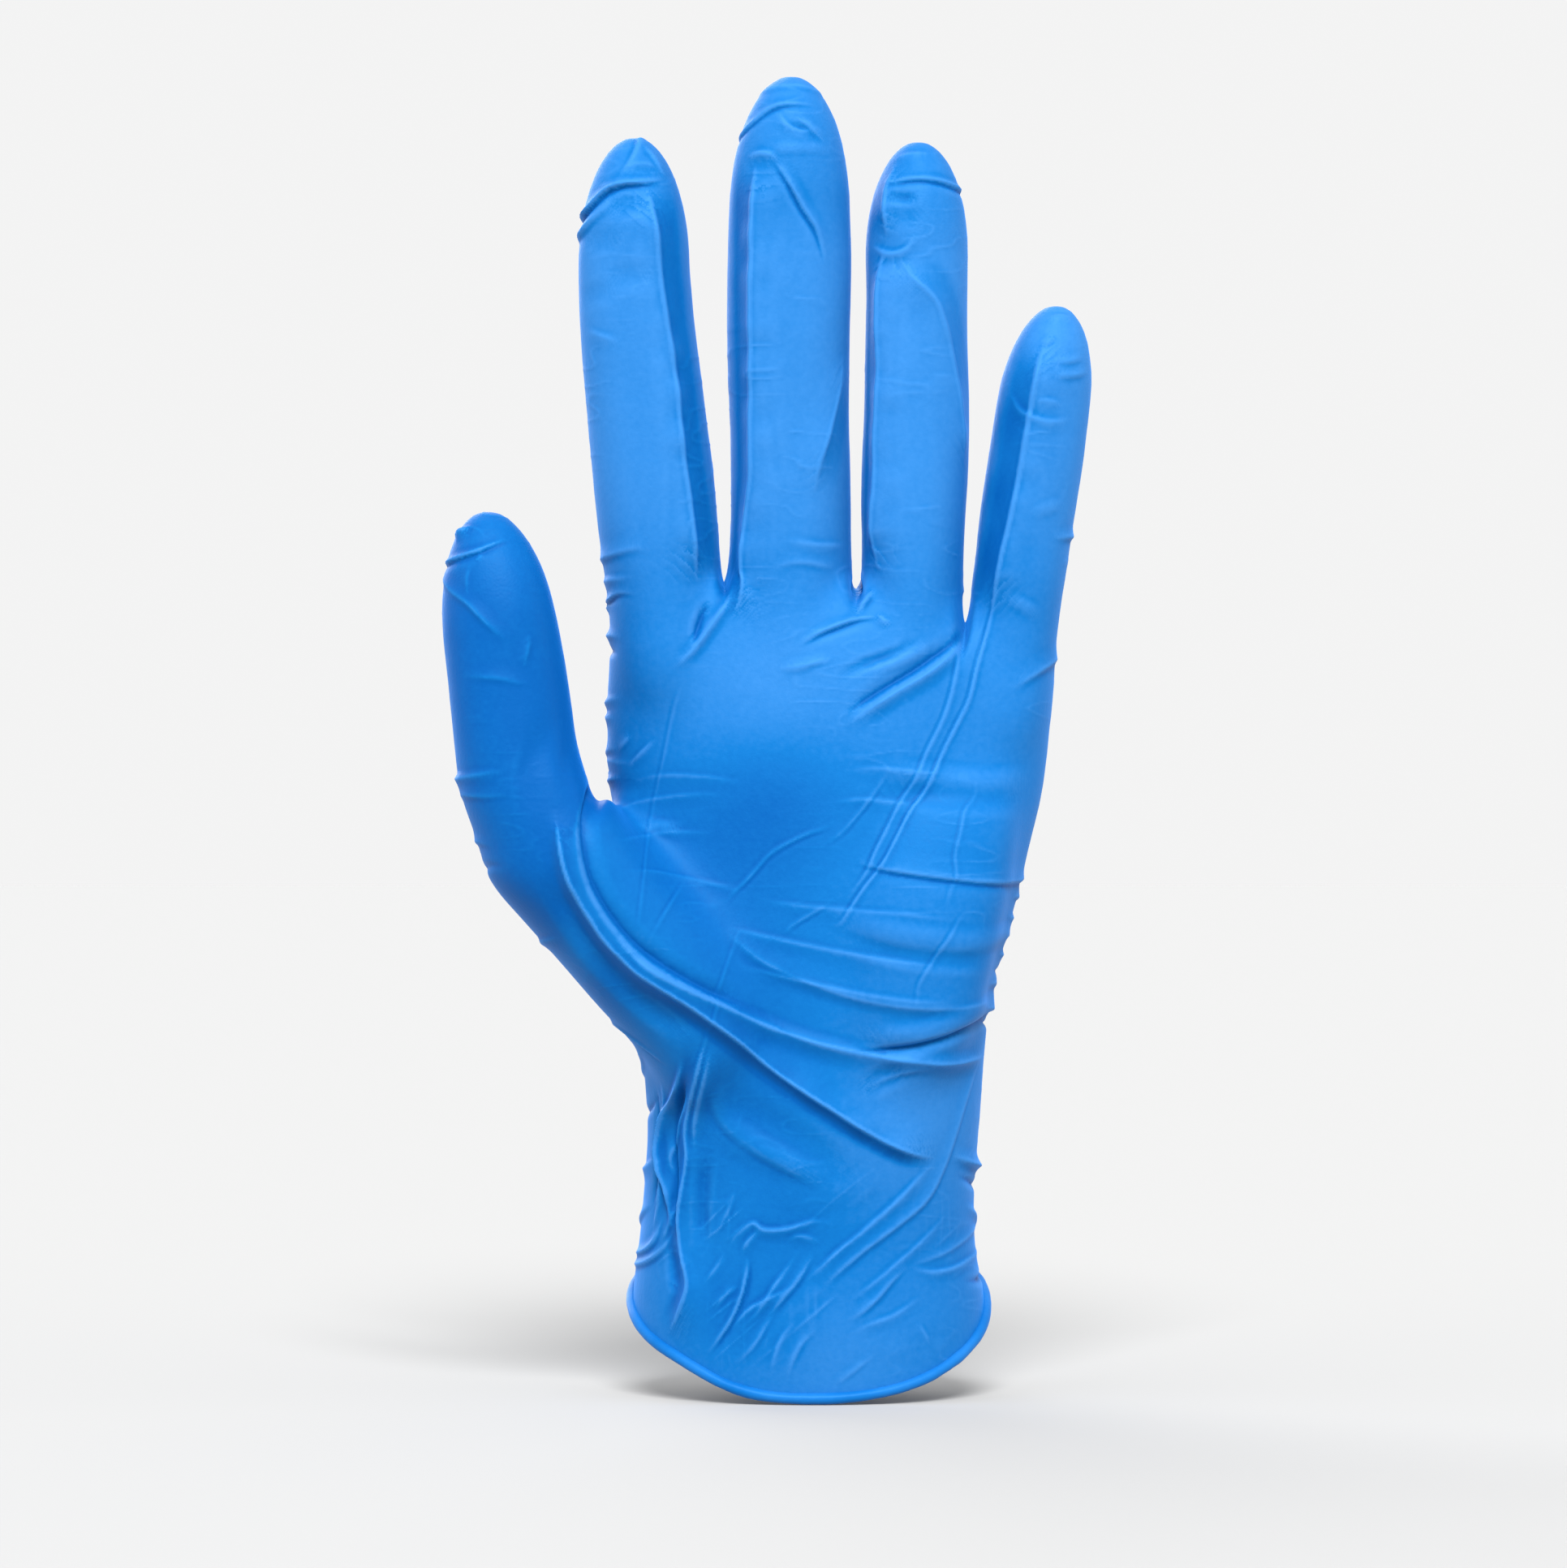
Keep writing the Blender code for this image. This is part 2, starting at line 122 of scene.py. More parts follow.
FINGERS = {
    "index": [
        (100, -30.0, -20.0, -20.0, -8.0),
        (112, -35.6, -15.0, -26.5, -1.5),
        (128, -37.0, -15.6, -26.0, -2.5),
        (140, -38.6, -16.6, -26.0, -4.2),
        (152, -39.8, -17.9, -26.3, -5.6),
        (166, -41.0, -19.7, -26.4, -6.8),
        (178, -41.8, -21.2, -26.4, -7.8),
        (187, -42.0, -21.9, -26.0, -8.6),
    ],
    "middle": [
        (100, -9.0, 3.0, -20.0, -6.0),
        (112, -15.0, 8.0, -27.2, 1.0),
        (130, -15.4, 7.5, -26.5, -1.2),
        (142, -14.4, 7.1, -26.5, -3.0),
        (156, -14.6, 7.0, -26.8, -4.6),
        (172, -15.2, 6.9, -27.0, -6.2),
        (186, -15.2, 7.1, -27.0, -7.4),
        (197, -14.9, 6.9, -26.6, -8.4),
    ],
    "ring": [
        (98, 12.0, 22.0, -20.0, -6.0),
        (110, 8.2, 26.6, -26.6, 0.2),
        (126, 8.6, 27.2, -26.0, -2.4),
        (138, 9.1, 27.4, -25.8, -4.2),
        (152, 9.0, 28.2, -25.8, -5.6),
        (166, 9.4, 28.3, -25.8, -6.8),
        (180, 9.8, 28.2, -25.6, -7.8),
        (190, 9.8, 28.1, -25.2, -8.6),
    ],
    "little": [
        (90, 29.0, 37.0, -20.0, -6.0),
        (104, 26.0, 42.9, -25.0, -1.5),
        (116, 26.8, 44.1, -24.4, -3.6),
        (128, 28.4, 45.4, -24.2, -5.6),
        (140, 30.0, 47.0, -24.0, -7.0),
        (152, 31.8, 48.9, -23.8, -8.0),
        (163, 33.5, 50.2, -23.4, -8.8),
    ],
}
# The very ends of the digits: x, y, z, mm
TIPS = {
    "thumb": (-57.8, -29.5, 142.9),
    "index": (-31.8, -18.0, 210.6),
    "middle": (-3.6, -18.6, 221.7),
    "ring": (19.1, -17.6, 209.9),
    "little": (44.0, -16.8, 180.5),
}
# The fleshy edge of the palm under the little finger
HEEL_PAD = [
    (36, 13.0, 19.0, -22.0, -16.0),
    (42, 8.0, 25.0, -27.0, -12.0),
    (52, 4.0, 30.0, -30.5, -10.0),
    (66, 3.0, 33.6, -32.4, -10.0),
    (80, 6.0, 36.6, -31.6, -10.0),
    (92, 11.0, 37.4, -28.6, -12.0),
    (101, 18.0, 33.0, -23.0, -16.0),
]


# ---------------------------------------------------------------- the hand form

def section_point(angle, kind, left, right, front, back):
    """A point of a rounded-rectangle section, a superellipse between its four sides."""
    c, s = math.cos(angle), math.sin(angle)
    x = math.copysign(abs(c) ** (2 / SQUARENESS[kind]), c)
    y = math.copysign(abs(s) ** (2 / SQUARENESS[kind]), s)
    return (left + right) / 2 + x * (right - left) / 2, (front + back) / 2 + y * (back - front) / 2


def spline_between(before, first, second, after, t):
    """Catmull-Rom interpolation of two neighbouring rows, number by number."""
    return tuple(
        0.5 * (2 * b + (c - a) * t + (2 * a - 5 * b + 4 * c - d) * t**2 + (3 * b - a - 3 * c + d) * t**3)
        for a, b, c, d in zip(before, first, second, after)
    )


def refined(rows, between):
    """The rows with smooth ones added between them."""
    padded = [rows[0], *rows, rows[-1]]
    found = []
    for i in range(1, len(padded) - 2):
        for k in range(between):
            found.append(spline_between(*padded[i - 1 : i + 3], k / between))
    found.append(rows[-1])
    return found


def with_dome(sections, tip):
    """The sections closed by a fingertip, an ellipse in profile that ends at tip."""
    height, left, right, front, back = sections[-1]
    centre_x, centre_y = (left + right) / 2, (front + back) / 2
    found = list(sections)
    for k in range(1, DOME_RINGS):
        turn = 0.5 * math.pi * k / DOME_RINGS
        shrink, rise = math.cos(turn), math.sin(turn)
        x = centre_x + (tip[0] - centre_x) * rise
        y = centre_y + (tip[1] - centre_y) * rise
        half_x, half_y = shrink * (right - left) / 2, shrink * (back - front) / 2
        found.append((height + (tip[2] - height) * rise, x - half_x, x + half_x, y - half_y, y + half_y))
    return found


def add_loft(mesh, kind, sections):
    """Adds a closed skin through the sections, bottom to top, to a bmesh."""
    rings = []
    for height, *sides in sections:
        ring = []
        for k in range(RING_SIDES):
            x, y = section_point(2 * math.pi * k / RING_SIDES, kind, *sides)
            ring.append(mesh.verts.new((x, y, height)))
        rings.append(ring)
    for low, high in zip(rings, rings[1:]):
        for k in range(RING_SIDES):
            after = (k + 1) % RING_SIDES
            mesh.faces.new((low[k], low[after], high[after], high[k]))
    mesh.faces.new(list(reversed(rings[0])))
    mesh.faces.new(rings[-1])


def hand_form():
    """The worn glove's smooth outer surface, in mm: points and four-sided faces."""
    mesh = bmesh.new()
    add_loft(mesh, "palm", refined(PALM, ROWS_BETWEEN))
    add_loft(mesh, "palm", refined(HEEL_PAD, ROWS_BETWEEN))
    add_loft(mesh, "palm", with_dome(refined(THUMB, ROWS_BETWEEN), TIPS["thumb"]))
    for finger, sections in FINGERS.items():
        add_loft(mesh, "finger", with_dome(refined(sections, ROWS_BETWEEN), TIPS[finger]))
    data = bpy.data.meshes.new("hand_form")
    mesh.to_mesh(data)
    mesh.free()
    form = bpy.data.objects.new("hand_form", data)
    bpy.context.scene.collection.objects.link(form)
    remesh = form.modifiers.new("union", "REMESH")
    remesh.mode = "VOXEL"
    remesh.voxel_size = VOXEL
    smooth = form.modifiers.new("webs", "SMOOTH")
    smooth.factor = 0.5
    smooth.iterations = WEB_SMOOTHING
    bpy.context.view_layer.update()
    graph = bpy.context.evaluated_depsgraph_get()
    result = form.evaluated_get(graph).to_mesh()
    points = np.empty(len(result.vertices) * 3)
    result.vertices.foreach_get("co", points)
    faces = np.array([p.vertices[:] for p in result.polygons])
    bpy.data.objects.remove(form)
    return points.reshape(-1, 3), faces


def smoothstep(value, low, high):
    t = np.clip((value - low) / (high - low), 0, 1)
    return t * t * (3 - 2 * t)


def rim_height(x, y):
    """The rim hangs lower on the palm side and is turned up at the thumb's corner of it."""
    turned_up = 2.2 * np.exp(-(((x + 24) / 9) ** 2)) * smoothstep(y, 4, -8)
    return RIM_SLOPE * y + RIM_CURVE * y * y + turned_up


def numbered(used, count, first):
    """For each of count points, its place among the used ones, counted from first, or -1."""
    place = np.full(count, -1)
    place[used] = np.arange(len(used)) + first
    return place


def open_mouth(points, faces):
    """Takes the form away below the rim, and lays the new edge along the rim."""
    above = points[:, 2] - rim_height(points[:, 0], points[:, 1])
    kept = faces[above[faces].mean(axis=1) > 0]
    used = np.unique(kept)
    points, faces = points[used], numbered(used, len(points), 0)[kept]
    edge = np.unique(boundary_edges(faces))
    points[edge, 2] = rim_height(points[edge, 0], points[edge, 1])
    return points, faces


def directed_edges(faces):
    return np.stack([faces, np.roll(faces, -1, axis=1)], axis=2).reshape(-1, 2)


def boundary_edges(faces):
    """The edges that only one face has, in that face's direction."""
    edges = directed_edges(faces)
    _, index, count = np.unique(np.sort(edges, axis=1), axis=0, return_inverse=True, return_counts=True)
    return edges[count[index.reshape(-1)] == 1]


def divided(points, faces):
    """Each face cut in four: the old points first, then one on each edge and one in each face."""
    edges = directed_edges(faces)
    unique, index = np.unique(np.sort(edges, axis=1), axis=0, return_inverse=True)
    middle = index.reshape(-1, 4) + len(points)
    centre = np.arange(len(faces)) + len(points) + len(unique)
    fine = np.empty((len(faces), 4, 4), int)
    for k in range(4):
        fine[:, k] = np.stack([faces[:, k], middle[:, k], centre, middle[:, k - 1]], axis=1)
    added = [points, points[unique].mean(axis=1), points[faces].mean(axis=1)]
    return np.concatenate(added), fine.reshape(-1, 4), unique


def unique_edges(faces):
    return np.unique(np.sort(directed_edges(faces), axis=1), axis=0)


def spread(edges, values):
    """The mean of each point's neighbours' rows of values."""
    count = len(values)
    total = np.zeros((count, values.shape[1]))
    for k in range(values.shape[1]):
        total[:, k] += np.bincount(edges[:, 0], values[edges[:, 1], k], count)
        total[:, k] += np.bincount(edges[:, 1], values[edges[:, 0], k], count)
    share = np.bincount(edges.ravel(), minlength=count)
    return total / share[:, None]


def blurred(edges, values, rounds):
    """One value per point, replaced by its neighbours' mean round after round."""
    column = values[:, None]
    for _ in range(rounds):
        column = spread(edges, column)
    return column[:, 0]


def lowest_near(edges, values, rounds):
    """The lowest value within as many edges of each point as there are rounds."""
    for _ in range(rounds):
        low = values.copy()
        np.minimum.at(low, edges[:, 0], values[edges[:, 1]])
        np.minimum.at(low, edges[:, 1], values[edges[:, 0]])
        values = low
    return values


def normals_of(points, faces):
    """Smooth normals at the points."""
    corner = points[faces]
    face = np.cross(corner[:, 2] - corner[:, 0], corner[:, 3] - corner[:, 1])
    total = np.zeros_like(points)
    for k in range(3):
        for c in range(4):
            total[:, k] += np.bincount(faces[:, c], face[:, k], len(points))
    return total / np.linalg.norm(total, axis=1, keepdims=True)


# ---------------------------------------------------------------- noise

def lattice(cell, seed):
    """A number from 0 to 1 for each whole-numbered cell."""
    mixed = np.sin(cell @ np.array([12.9898, 78.233, 37.719]) + seed * 4.1414) * 43758.5453
    return mixed - np.floor(mixed)


def noise(points, size, seed):
    """Smooth noise from -1 to 1 with features of the given size; size may differ along x, y and z."""
    scaled = points / np.array(size)
    cell = np.floor(scaled)
    t = scaled - cell
    t = t * t * (3 - 2 * t)
    total = np.zeros(len(points))
    for corner in np.ndindex(2, 2, 2):
        share = np.prod(np.where(np.array(corner), t, 1 - t), axis=1)
        total += share * lattice(cell + np.array(corner), seed)
    return 2 * total - 1


# ---------------------------------------------------------------- folds

# The folds of the film, drawn one by one: style, height, width to the left and to the right of the line
# as it is drawn, mm, and the line's points, mm. Points (x, z) are laid on the film as seen from the
# palm side, and points (x, y, z) on the film nearest them.
FOLDS = [
    # the deep fold from the thumb web across the heel of the hand
    ("groove", -1.2, 3.4, 1.4, [
        (-38.9, 95), (-39.9, 91.5), (-40.5, 85), (-39.3, 78.2), (-36.8, 72.8), (-32.8, 67.4),
        (-28.6, 63.5), (-23.5, 60.2), (-18, 57.2), (-12, 54.6)]),
    ("ridge", 0.9, 2.4, 3.4, [
        (-35, 67.4), (-31.5, 63.8), (-27.5, 60.9), (-22.4, 58), (-16.4, 54.9), (-9.3, 51.6), (-2.3, 49),
        (3.8, 47.2), (9.8, 46), (17.9, 44.9), (24, 44.4), (31, 45)]),
    ("groove", -0.9, 2.2, 1.2, [
        (33, 53), (31, 52), (28, 50.5), (23.9, 48.9), (17.9, 47.3), (11.8, 46.6), (6.8, 47.2)]),
    ("soft", 0.6, 3.0, 3.0, [(32.5, 55), (29, 53.2), (25, 51.6), (20, 50), (14, 49.4), (8, 50)]),
    ("facet", 1.5, 2.2, 7.0, [
        (22.5, 26.9), (16.9, 28.4), (10, 32), (3.8, 36), (-2, 39.8), (-7.3, 43.6), (-12.4, 47.6),
        (-17, 51.2), (-22.4, 55.3), (-27, 58.4), (-31.5, 61.6), (-36.5, 66.6), (-39, 70.2), (-41.6, 74.2),
        (-43.6, 78.6), (-44.8, 84), (-45.4, 90)]),
    ("soft", -0.7, 4.0, 3.0, [
        (-20, 48.5), (-27, 53.4), (-33, 58.4), (-38.5, 64.4), (-43, 71.5), (-47, 80)]),
    ("soft", -0.4, 3.0, 3.0, [(8, 39.4), (13, 41.7), (18, 43)]),
    ("soft", 0.3, 4.0, 4.0, [(-21, 33), (-16, 31.5), (-10.5, 29), (-4, 25.8), (1.5, 22.5)]),
    ("soft", -0.3, 4.0, 4.0, [(-17, 38.5), (-10, 35.5), (-3, 31.5), (4, 26.5), (9, 23)]),
    # across the palm, each film edge standing over the one below
    ("step", 0.4, 5.0, 2.5, [
        (7, 80.3), (13, 78.7), (19.5, 77.7), (26, 76.9), (32, 76.3), (37.5, 76.4), (41, 77.4)]),
    ("ridge", 0.45, 5.0, 2.0, [
        (-16.4, 69), (-12.4, 65.3), (-8.3, 62.3), (-2.3, 59.6), (3.8, 57.2), (9.8, 55.6), (17.9, 54.4),
        (26, 54.3), (31.5, 55.4)]),
    ("soft", -0.4, 3.5, 3.5, [(10, 93.2), (17, 92.5), (24, 92), (31, 91.6), (38, 91.6)]),
    ("soft", 0.35, 3.0, 4.0, [(10, 96.6), (20, 95.8), (30, 95), (40, 95)]),
    ("soft", 0.35, 3.0, 3.0, [(2, 71.5), (10, 69), (20, 67), (30, 66.4), (36, 67.5)]),
    ("soft", -0.35, 2.5, 2.5, [(5, 66.5), (13, 64.3), (22, 62.8), (32, 62.5)]),
    ("soft", -0.2, 2.4, 2.4, [(-37.5, 94.3), (-34, 94.1), (-30, 93.9), (-26.5, 93.5)]),
    ("soft", 0.35, 2.0, 2.0, [(-32, 87.5), (-27.5, 86.5), (-22.5, 85.7)]),
    ("ridge", 0.3, 0.9, 2.0, [(-32.3, 103.3), (-33.6, 101.5), (-34.8, 99.9)]),
    ("ridge", 0.25, 1.8, 0.8, [(-27.8, 102.4), (-30.4, 99.9), (-33.1, 97)]),
    ("ridge", 0.25, 1.1, 2.5, [(-37, 98.5), (-34, 98), (-30.5, 98.5)]),
    # the pair of long thin creases from the little finger
    ("crease", 0.14, 1.0, 0.8, [
        (26.6, 121.3), (26.2, 116), (25, 110.3), (23.3, 105.3), (20.5, 99.8), (18.6, 95.1), (16, 91.3),
        (13.6, 86.6), (11.2, 81.9), (10, 78.9), (7.3, 75), (6, 73.6)]),
    ("crease", 0.19, 0.8, 1.0, [
        (33.6, 130.2), (32.5, 125.7), (31, 120), (29.6, 115), (28.2, 109.3), (26, 104.8), (23.6, 100.1),
        (21.4, 95.1), (20, 92.6), (17.8, 89.8), (15.1, 84.6), (12.6, 79.9), (9.4, 75.8), (6.9, 72),
        (5, 69), (3.4, 69.3), (2, 69)]),
    # thin creases of the palm
    ("crease", 0.12, 0.8, 0.9, [
        (-16.4, 71.7), (-14, 74.8), (-11, 77.7), (-7.6, 81.6), (-4, 83.8), (0, 85.7), (2, 86.2),
        (4.8, 87.9)]),
    ("crease", 0.11, 0.8, 0.9, [
        (0.6, 82.7), (4.8, 85.1), (7.6, 88.1), (10.4, 91.6), (12.6, 94.8), (14.3, 97.6)]),
    ("crease", 0.10, 0.8, 0.8, [(-6, 66.6), (-3.4, 69.1), (-0.7, 70.7), (2, 72.3), (4.7, 73.9)]),
    ("crease", 0.09, 0.8, 0.8, [
        (29.3, 96.1), (29.3, 91.9), (27.5, 90.1), (26.6, 86), (25.5, 81.3), (25.9, 77.4), (24.6, 75.2),
        (23.8, 70.7)]),
    ("crease", 0.10, 0.8, 0.8, [
        (28.1, 72.3), (26.5, 70.4), (24.9, 67.6), (22.7, 64.4), (20.8, 61.4), (19, 58.4), (18.7, 55.2),
        (17.6, 53)]),
    ("crease", 0.06, 0.7, 0.7, [
        (-22.2, 113.7), (-24.4, 108.4), (-26.9, 96.8), (-27.8, 92.8), (-29, 86.5), (-29.8, 77.8),
        (-31, 66.4)]),
    ("crease", 0.07, 0.7, 0.7, [(-21.8, 78), (-26, 71.4), (-29.6, 65)]),
    ("crease", 0.06, 0.7, 0.7, [(-12, 70.5), (-14.5, 63.5), (-16.5, 57.5), (-19, 48), (-22, 40)]),
    # index finger
    ("facet", 1.8, 4.6, 9.0, [
        (-29.5, 201.5), (-28.1, 192.5), (-27.6, 186.1), (-26.8, 179.5), (-25.9, 173.4), (-24.9, 165.9),
        (-24, 156.4), (-22.7, 146), (-21.6, 136.8), (-20.5, 129.8)]),
    ("step", 1.0, 2.6, 1.8, [
        (-42.5, 194), (-41.3, 195.6), (-39.1, 197.9), (-36.7, 200.2), (-33.8, 201.2), (-30.9, 201.4),
        (-28.5, 201.8), (-26.2, 202.5)]),
    ("ridge", 0.75, 2.5, 1.3, [(-42.5, 191.5), (-39.8, 194.8), (-37, 197.5), (-35, 199.3)]),
    ("soft", -0.2, 1.8, 1.8, [(-34.4, 203.2), (-30, 203.9), (-26.3, 203.6)]),
    ("ridge", 0.35, 0.8, 2.4, [(-35, 202), (-32.6, 205.6), (-31.2, 208.4), (-30.8, 210.6)]),
    ("ridge", 0.35, 2.4, 0.8, [(-30.6, 209), (-28.4, 206.4), (-26.2, 202.6)]),
    ("soft", -0.35, 3.4, 3.4, [(-37, 196), (-33, 198.2), (-28.5, 198)]),
    ("soft", -0.25, 3.4, 3.4, [(-41, 190), (-37, 191.8), (-32.5, 190.8)]),
    ("soft", -0.22, 3.4, 3.4, [(-37.5, 183.4), (-32.5, 185.2), (-27.5, 184.4)]),
    ("soft", -0.2, 3.0, 3.0, [(-41.5, 180.5), (-37.5, 182.5), (-33.5, 181.6)]),
    ("ridge", 0.25, 1.3, 2.9, [(-40.6, 175.6), (-37, 174), (-33.8, 173.1)]),
    ("ridge", 0.5, 3.2, 1.3, [
        (-39.5, 133.6), (-37.6, 134.7), (-34.7, 135.6), (-31.5, 136.4), (-28, 136)]),
    ("ridge", 0.4, 1.2, 2.7, [(-38.5, 130.5), (-35, 131), (-31, 131.2)]),
    ("step", 0.6, 2.2, 1.8, [(-37.8, 126.2), (-36.4, 127), (-34.4, 128.2), (-31.2, 127.9)]),
    # between the index and middle fingers
    ("groove", -0.8, 1.8, 1.6, [(-18.3, 127.4), (-19.3, 125.2), (-20.3, 122.4), (-21.2, 118.6)]),
    ("ridge", 0.75, 1.8, 1.8, [
        (-13.4, 131), (-14.8, 127), (-17.2, 123.6), (-19.4, 120.6), (-21.6, 117.6), (-25.4, 114.4)]),
    # middle finger
    ("facet", 1.8, 9.0, 4.2, [
        (-9.8, 206), (-10.1, 197), (-10.2, 187.3), (-10.3, 180), (-10.2, 169.4), (-10.2, 158.7),
        (-10.1, 149.8), (-10.8, 142.8), (-11.4, 136), (-11.8, 131), (-12.9, 126.5), (-14.5, 123.5)]),
    ("facet", 0.8, 4.2, 6.0, [(5.6, 172), (5, 165.8), (2.9, 156.8), (1.1, 150.5), (0.3, 145)]),
    ("step", 0.6, 2.4, 1.5, [
        (-7.4, 206.5), (-4.1, 201.2), (-1.8, 196.9), (0.4, 193.7), (1.6, 190.5), (2.5, 186.5)]),
    ("ridge", 0.45, 1.2, 2.6, [(-11.6, 206.2), (-9.6, 206.9), (-7.5, 206.8), (-5.6, 205.4)]),
    ("step", 0.45, 1.8, 1.8, [
        (-13.3, 209.5), (-12.2, 210.9), (-9.8, 213), (-7.2, 214.9), (-5.4, 215.5), (-2, 215.8),
        (1.2, 215.5)]),
    ("ridge", 0.2, 2.5, 1.1, [(-10.5, 217.3), (-7.8, 218.8), (-2.6, 219.5), (1.8, 218.4)]),
    ("ridge", 0.3, 0.8, 2.0, [(-6.4, 215), (-4.6, 212.2), (-1.4, 210.8), (1.8, 211.8)]),
    ("ridge", 0.25, 2.0, 0.8, [(-3.2, 213.6), (-0.4, 211.8), (2.6, 208.8)]),
    ("soft", -0.25, 1.6, 1.8, [(-5, 211.2), (-2.6, 211.8), (0.5, 210.2), (2.5, 208.8)]),
    ("soft", 0.15, 1.6, 1.6, [(-11.1, 207.4), (-3, 207.9), (4.8, 207.6)]),
    ("ridge", 0.18, 1.0, 2.5, [(-6.6, 137.6), (-2.6, 137.4), (1.6, 136.9), (6.6, 137.1)]),
    ("ridge", 0.18, 2.2, 1.1, [(-7.3, 132.4), (-4.4, 133.6), (-1.6, 133.9), (2.3, 133.3), (5.1, 132.8)]),
    # ring finger
    ("facet", 1.2, 5.0, 4.0, [(15.4, 206), (13.9, 201.7), (13.4, 196.5), (13.6, 191.2)]),
    ("facet", 1.7, 9.0, 4.0, [
        (13.5, 191), (12.7, 187), (12.6, 181.4), (12.6, 175.7), (12.6, 168.5), (12.4, 162.8),
        (12.1, 156.1), (12.1, 147.6), (11.8, 142.6), (11.6, 136.9), (12.1, 131.5)]),
    ("ridge", 0.55, 1.0, 1.8, [
        (10.6, 190.9), (11.9, 190), (13.9, 189), (16.5, 189.4), (18, 191), (18.4, 192.8)]),
    ("facet", 0.9, 4.2, 5.5, [
        (15.8, 188.6), (17.8, 184.9), (20.3, 182.7), (22.2, 180.2), (23.3, 176.9), (24.3, 173.5),
        (25.2, 169), (26.3, 162.8), (27, 156.1), (27.4, 150)]),
    ("step", 0.6, 1.8, 1.6, [
        (12.8, 201.2), (14.8, 201.7), (17, 202.2), (19.9, 202.3), (22.7, 201.9), (24.9, 201.3),
        (27.4, 200.4)]),
    ("ridge", 0.25, 1.1, 2.5, [(14.5, 206.2), (16.5, 207), (19.3, 207.3), (21.8, 207)]),
    ("soft", -0.3, 1.6, 1.6, [(13.2, 199.3), (16.5, 199), (19.8, 199)]),
    ("soft", -0.25, 3.0, 3.0, [(13, 194.6), (16.6, 196), (20.6, 194.8)]),
    # between the middle and ring fingers
    ("soft", -0.8, 1.4, 1.4, [(8.3, 130.4), (8.5, 128.2), (8.6, 125.6)]),
    ("ridge", 0.6, 1.0, 2.3, [(10.9, 129.5), (10.6, 128.1), (9.2, 126.5), (7.8, 124.2)]),
    ("step", 0.6, 1.8, 1.8, [(-2.6, 118.7), (1.2, 120.8), (4.8, 122.3), (8.3, 123.5), (12.4, 123.9)]),
    ("ridge", 0.35, 2.3, 1.2, [(-6.5, 114.9), (-2.3, 115), (1.2, 116), (4.4, 116.6)]),
    ("ridge", 0.3, 0.8, 1.8, [(11.5, 124.6), (12.9, 123.6), (14.2, 122.5)]),
    # between the ring and little fingers
    ("groove", -0.9, 1.4, 2.6, [
        (27, 121.4), (24.6, 119), (21.8, 117), (19, 115), (15.4, 112.8), (11.9, 110.7), (8.3, 108.3),
        (5.4, 106.1)]),
    ("ridge", 0.8, 2.6, 1.6, [
        (27.4, 119.8), (25.8, 118.2), (23.4, 116), (20.2, 113.6), (16.4, 111.4), (12.8, 109.2),
        (9.2, 106.8), (5.6, 104.4)]),
    ("soft", -0.35, 1.6, 1.6, [(4.4, 111.8), (6.1, 114), (10.1, 116), (15.4, 117.8), (18.6, 120.7)]),
    ("soft", 0.3, 1.8, 1.8, [(8, 112.5), (13, 115.3), (19, 118), (22, 121.5)]),
    # little finger
    ("facet", 1.5, 8.0, 4.2, [
        (42.2, 174.5), (41.1, 170.6), (40.4, 166.8), (39.9, 164.4), (39.4, 161.1), (38.5, 156.1),
        (37.5, 150), (36.3, 143.4), (34.8, 136.5), (33.4, 129.9), (32, 124)]),
    ("ridge", 0.25, 1.6, 0.7, [(41.6, 172.4), (42.2, 173.6), (43.6, 174.1)]),
    ("ridge", 0.35, 1.1, 2.5, [(35.2, 165.4), (37, 161.7), (39.1, 159.9), (42.9, 158.9), (47, 159.9)]),
    ("ridge", 0.3, 2.2, 1.0, [(42.5, 167.2), (45, 167.3), (47.7, 167.5), (49.9, 168.7)]),
    ("ridge", 0.25, 0.9, 2.0, [(39.7, 162.5), (42.5, 162.8), (44.9, 162)]),
    ("ridge", 0.25, 2.0, 0.9, [(43, 170.2), (46, 169.8), (49, 171)]),
    ("ridge", 0.25, 1.0, 2.2, [(41.8, 177.2), (44.5, 178.2), (47.2, 177.4)]),
    ("ridge", 0.5, 2.2, 1.1, [(42.6, 138.4), (45, 138.4), (47.6, 138.9)]),
    ("soft", 0.15, 1.8, 1.8, [(38.5, 141.8), (41.6, 143.5), (45.6, 144.6)]),
    ("soft", 0.2, 1.8, 1.8, [(34.4, 128), (37.5, 126.4), (41, 123.9)]),
    ("ridge", 0.5, 1.3, 3.6, [(44.6, 117.4), (43.3, 116.2), (40.2, 114), (35, 110.7)]),
    # thumb
    ("step", 0.7, 1.6, 1.8, [
        (-66, 132.6), (-64.8, 133.3), (-62.3, 134.2), (-58.8, 135.3), (-56.3, 136.5), (-53.2, 137.6)]),
    ("ridge", 0.21, 1.6, 0.7, [(-58.5, 135.6), (-59.4, 133.7)]),
    ("ridge", 0.17, 0.8, 1.8, [(-60.3, 133.6), (-61.2, 130.6), (-60.8, 127)]),
    ("ridge", 0.42, 2.5, 1.3, [
        (-66, 131.8), (-64.2, 128.6), (-61, 126.2), (-58.1, 123.2), (-55.3, 120.7), (-53.2, 118.8)]),
    ("ridge", 0.21, 1.0, 2.2, [(-50, 121.2), (-50.2, 118.2), (-51.1, 114.4)]),
    ("ridge", 0.21, 2.7, 1.2, [
        (-62.5, 113.4), (-58.1, 113.1), (-54.6, 112.8), (-51.8, 112.1), (-48.4, 111.6)]),
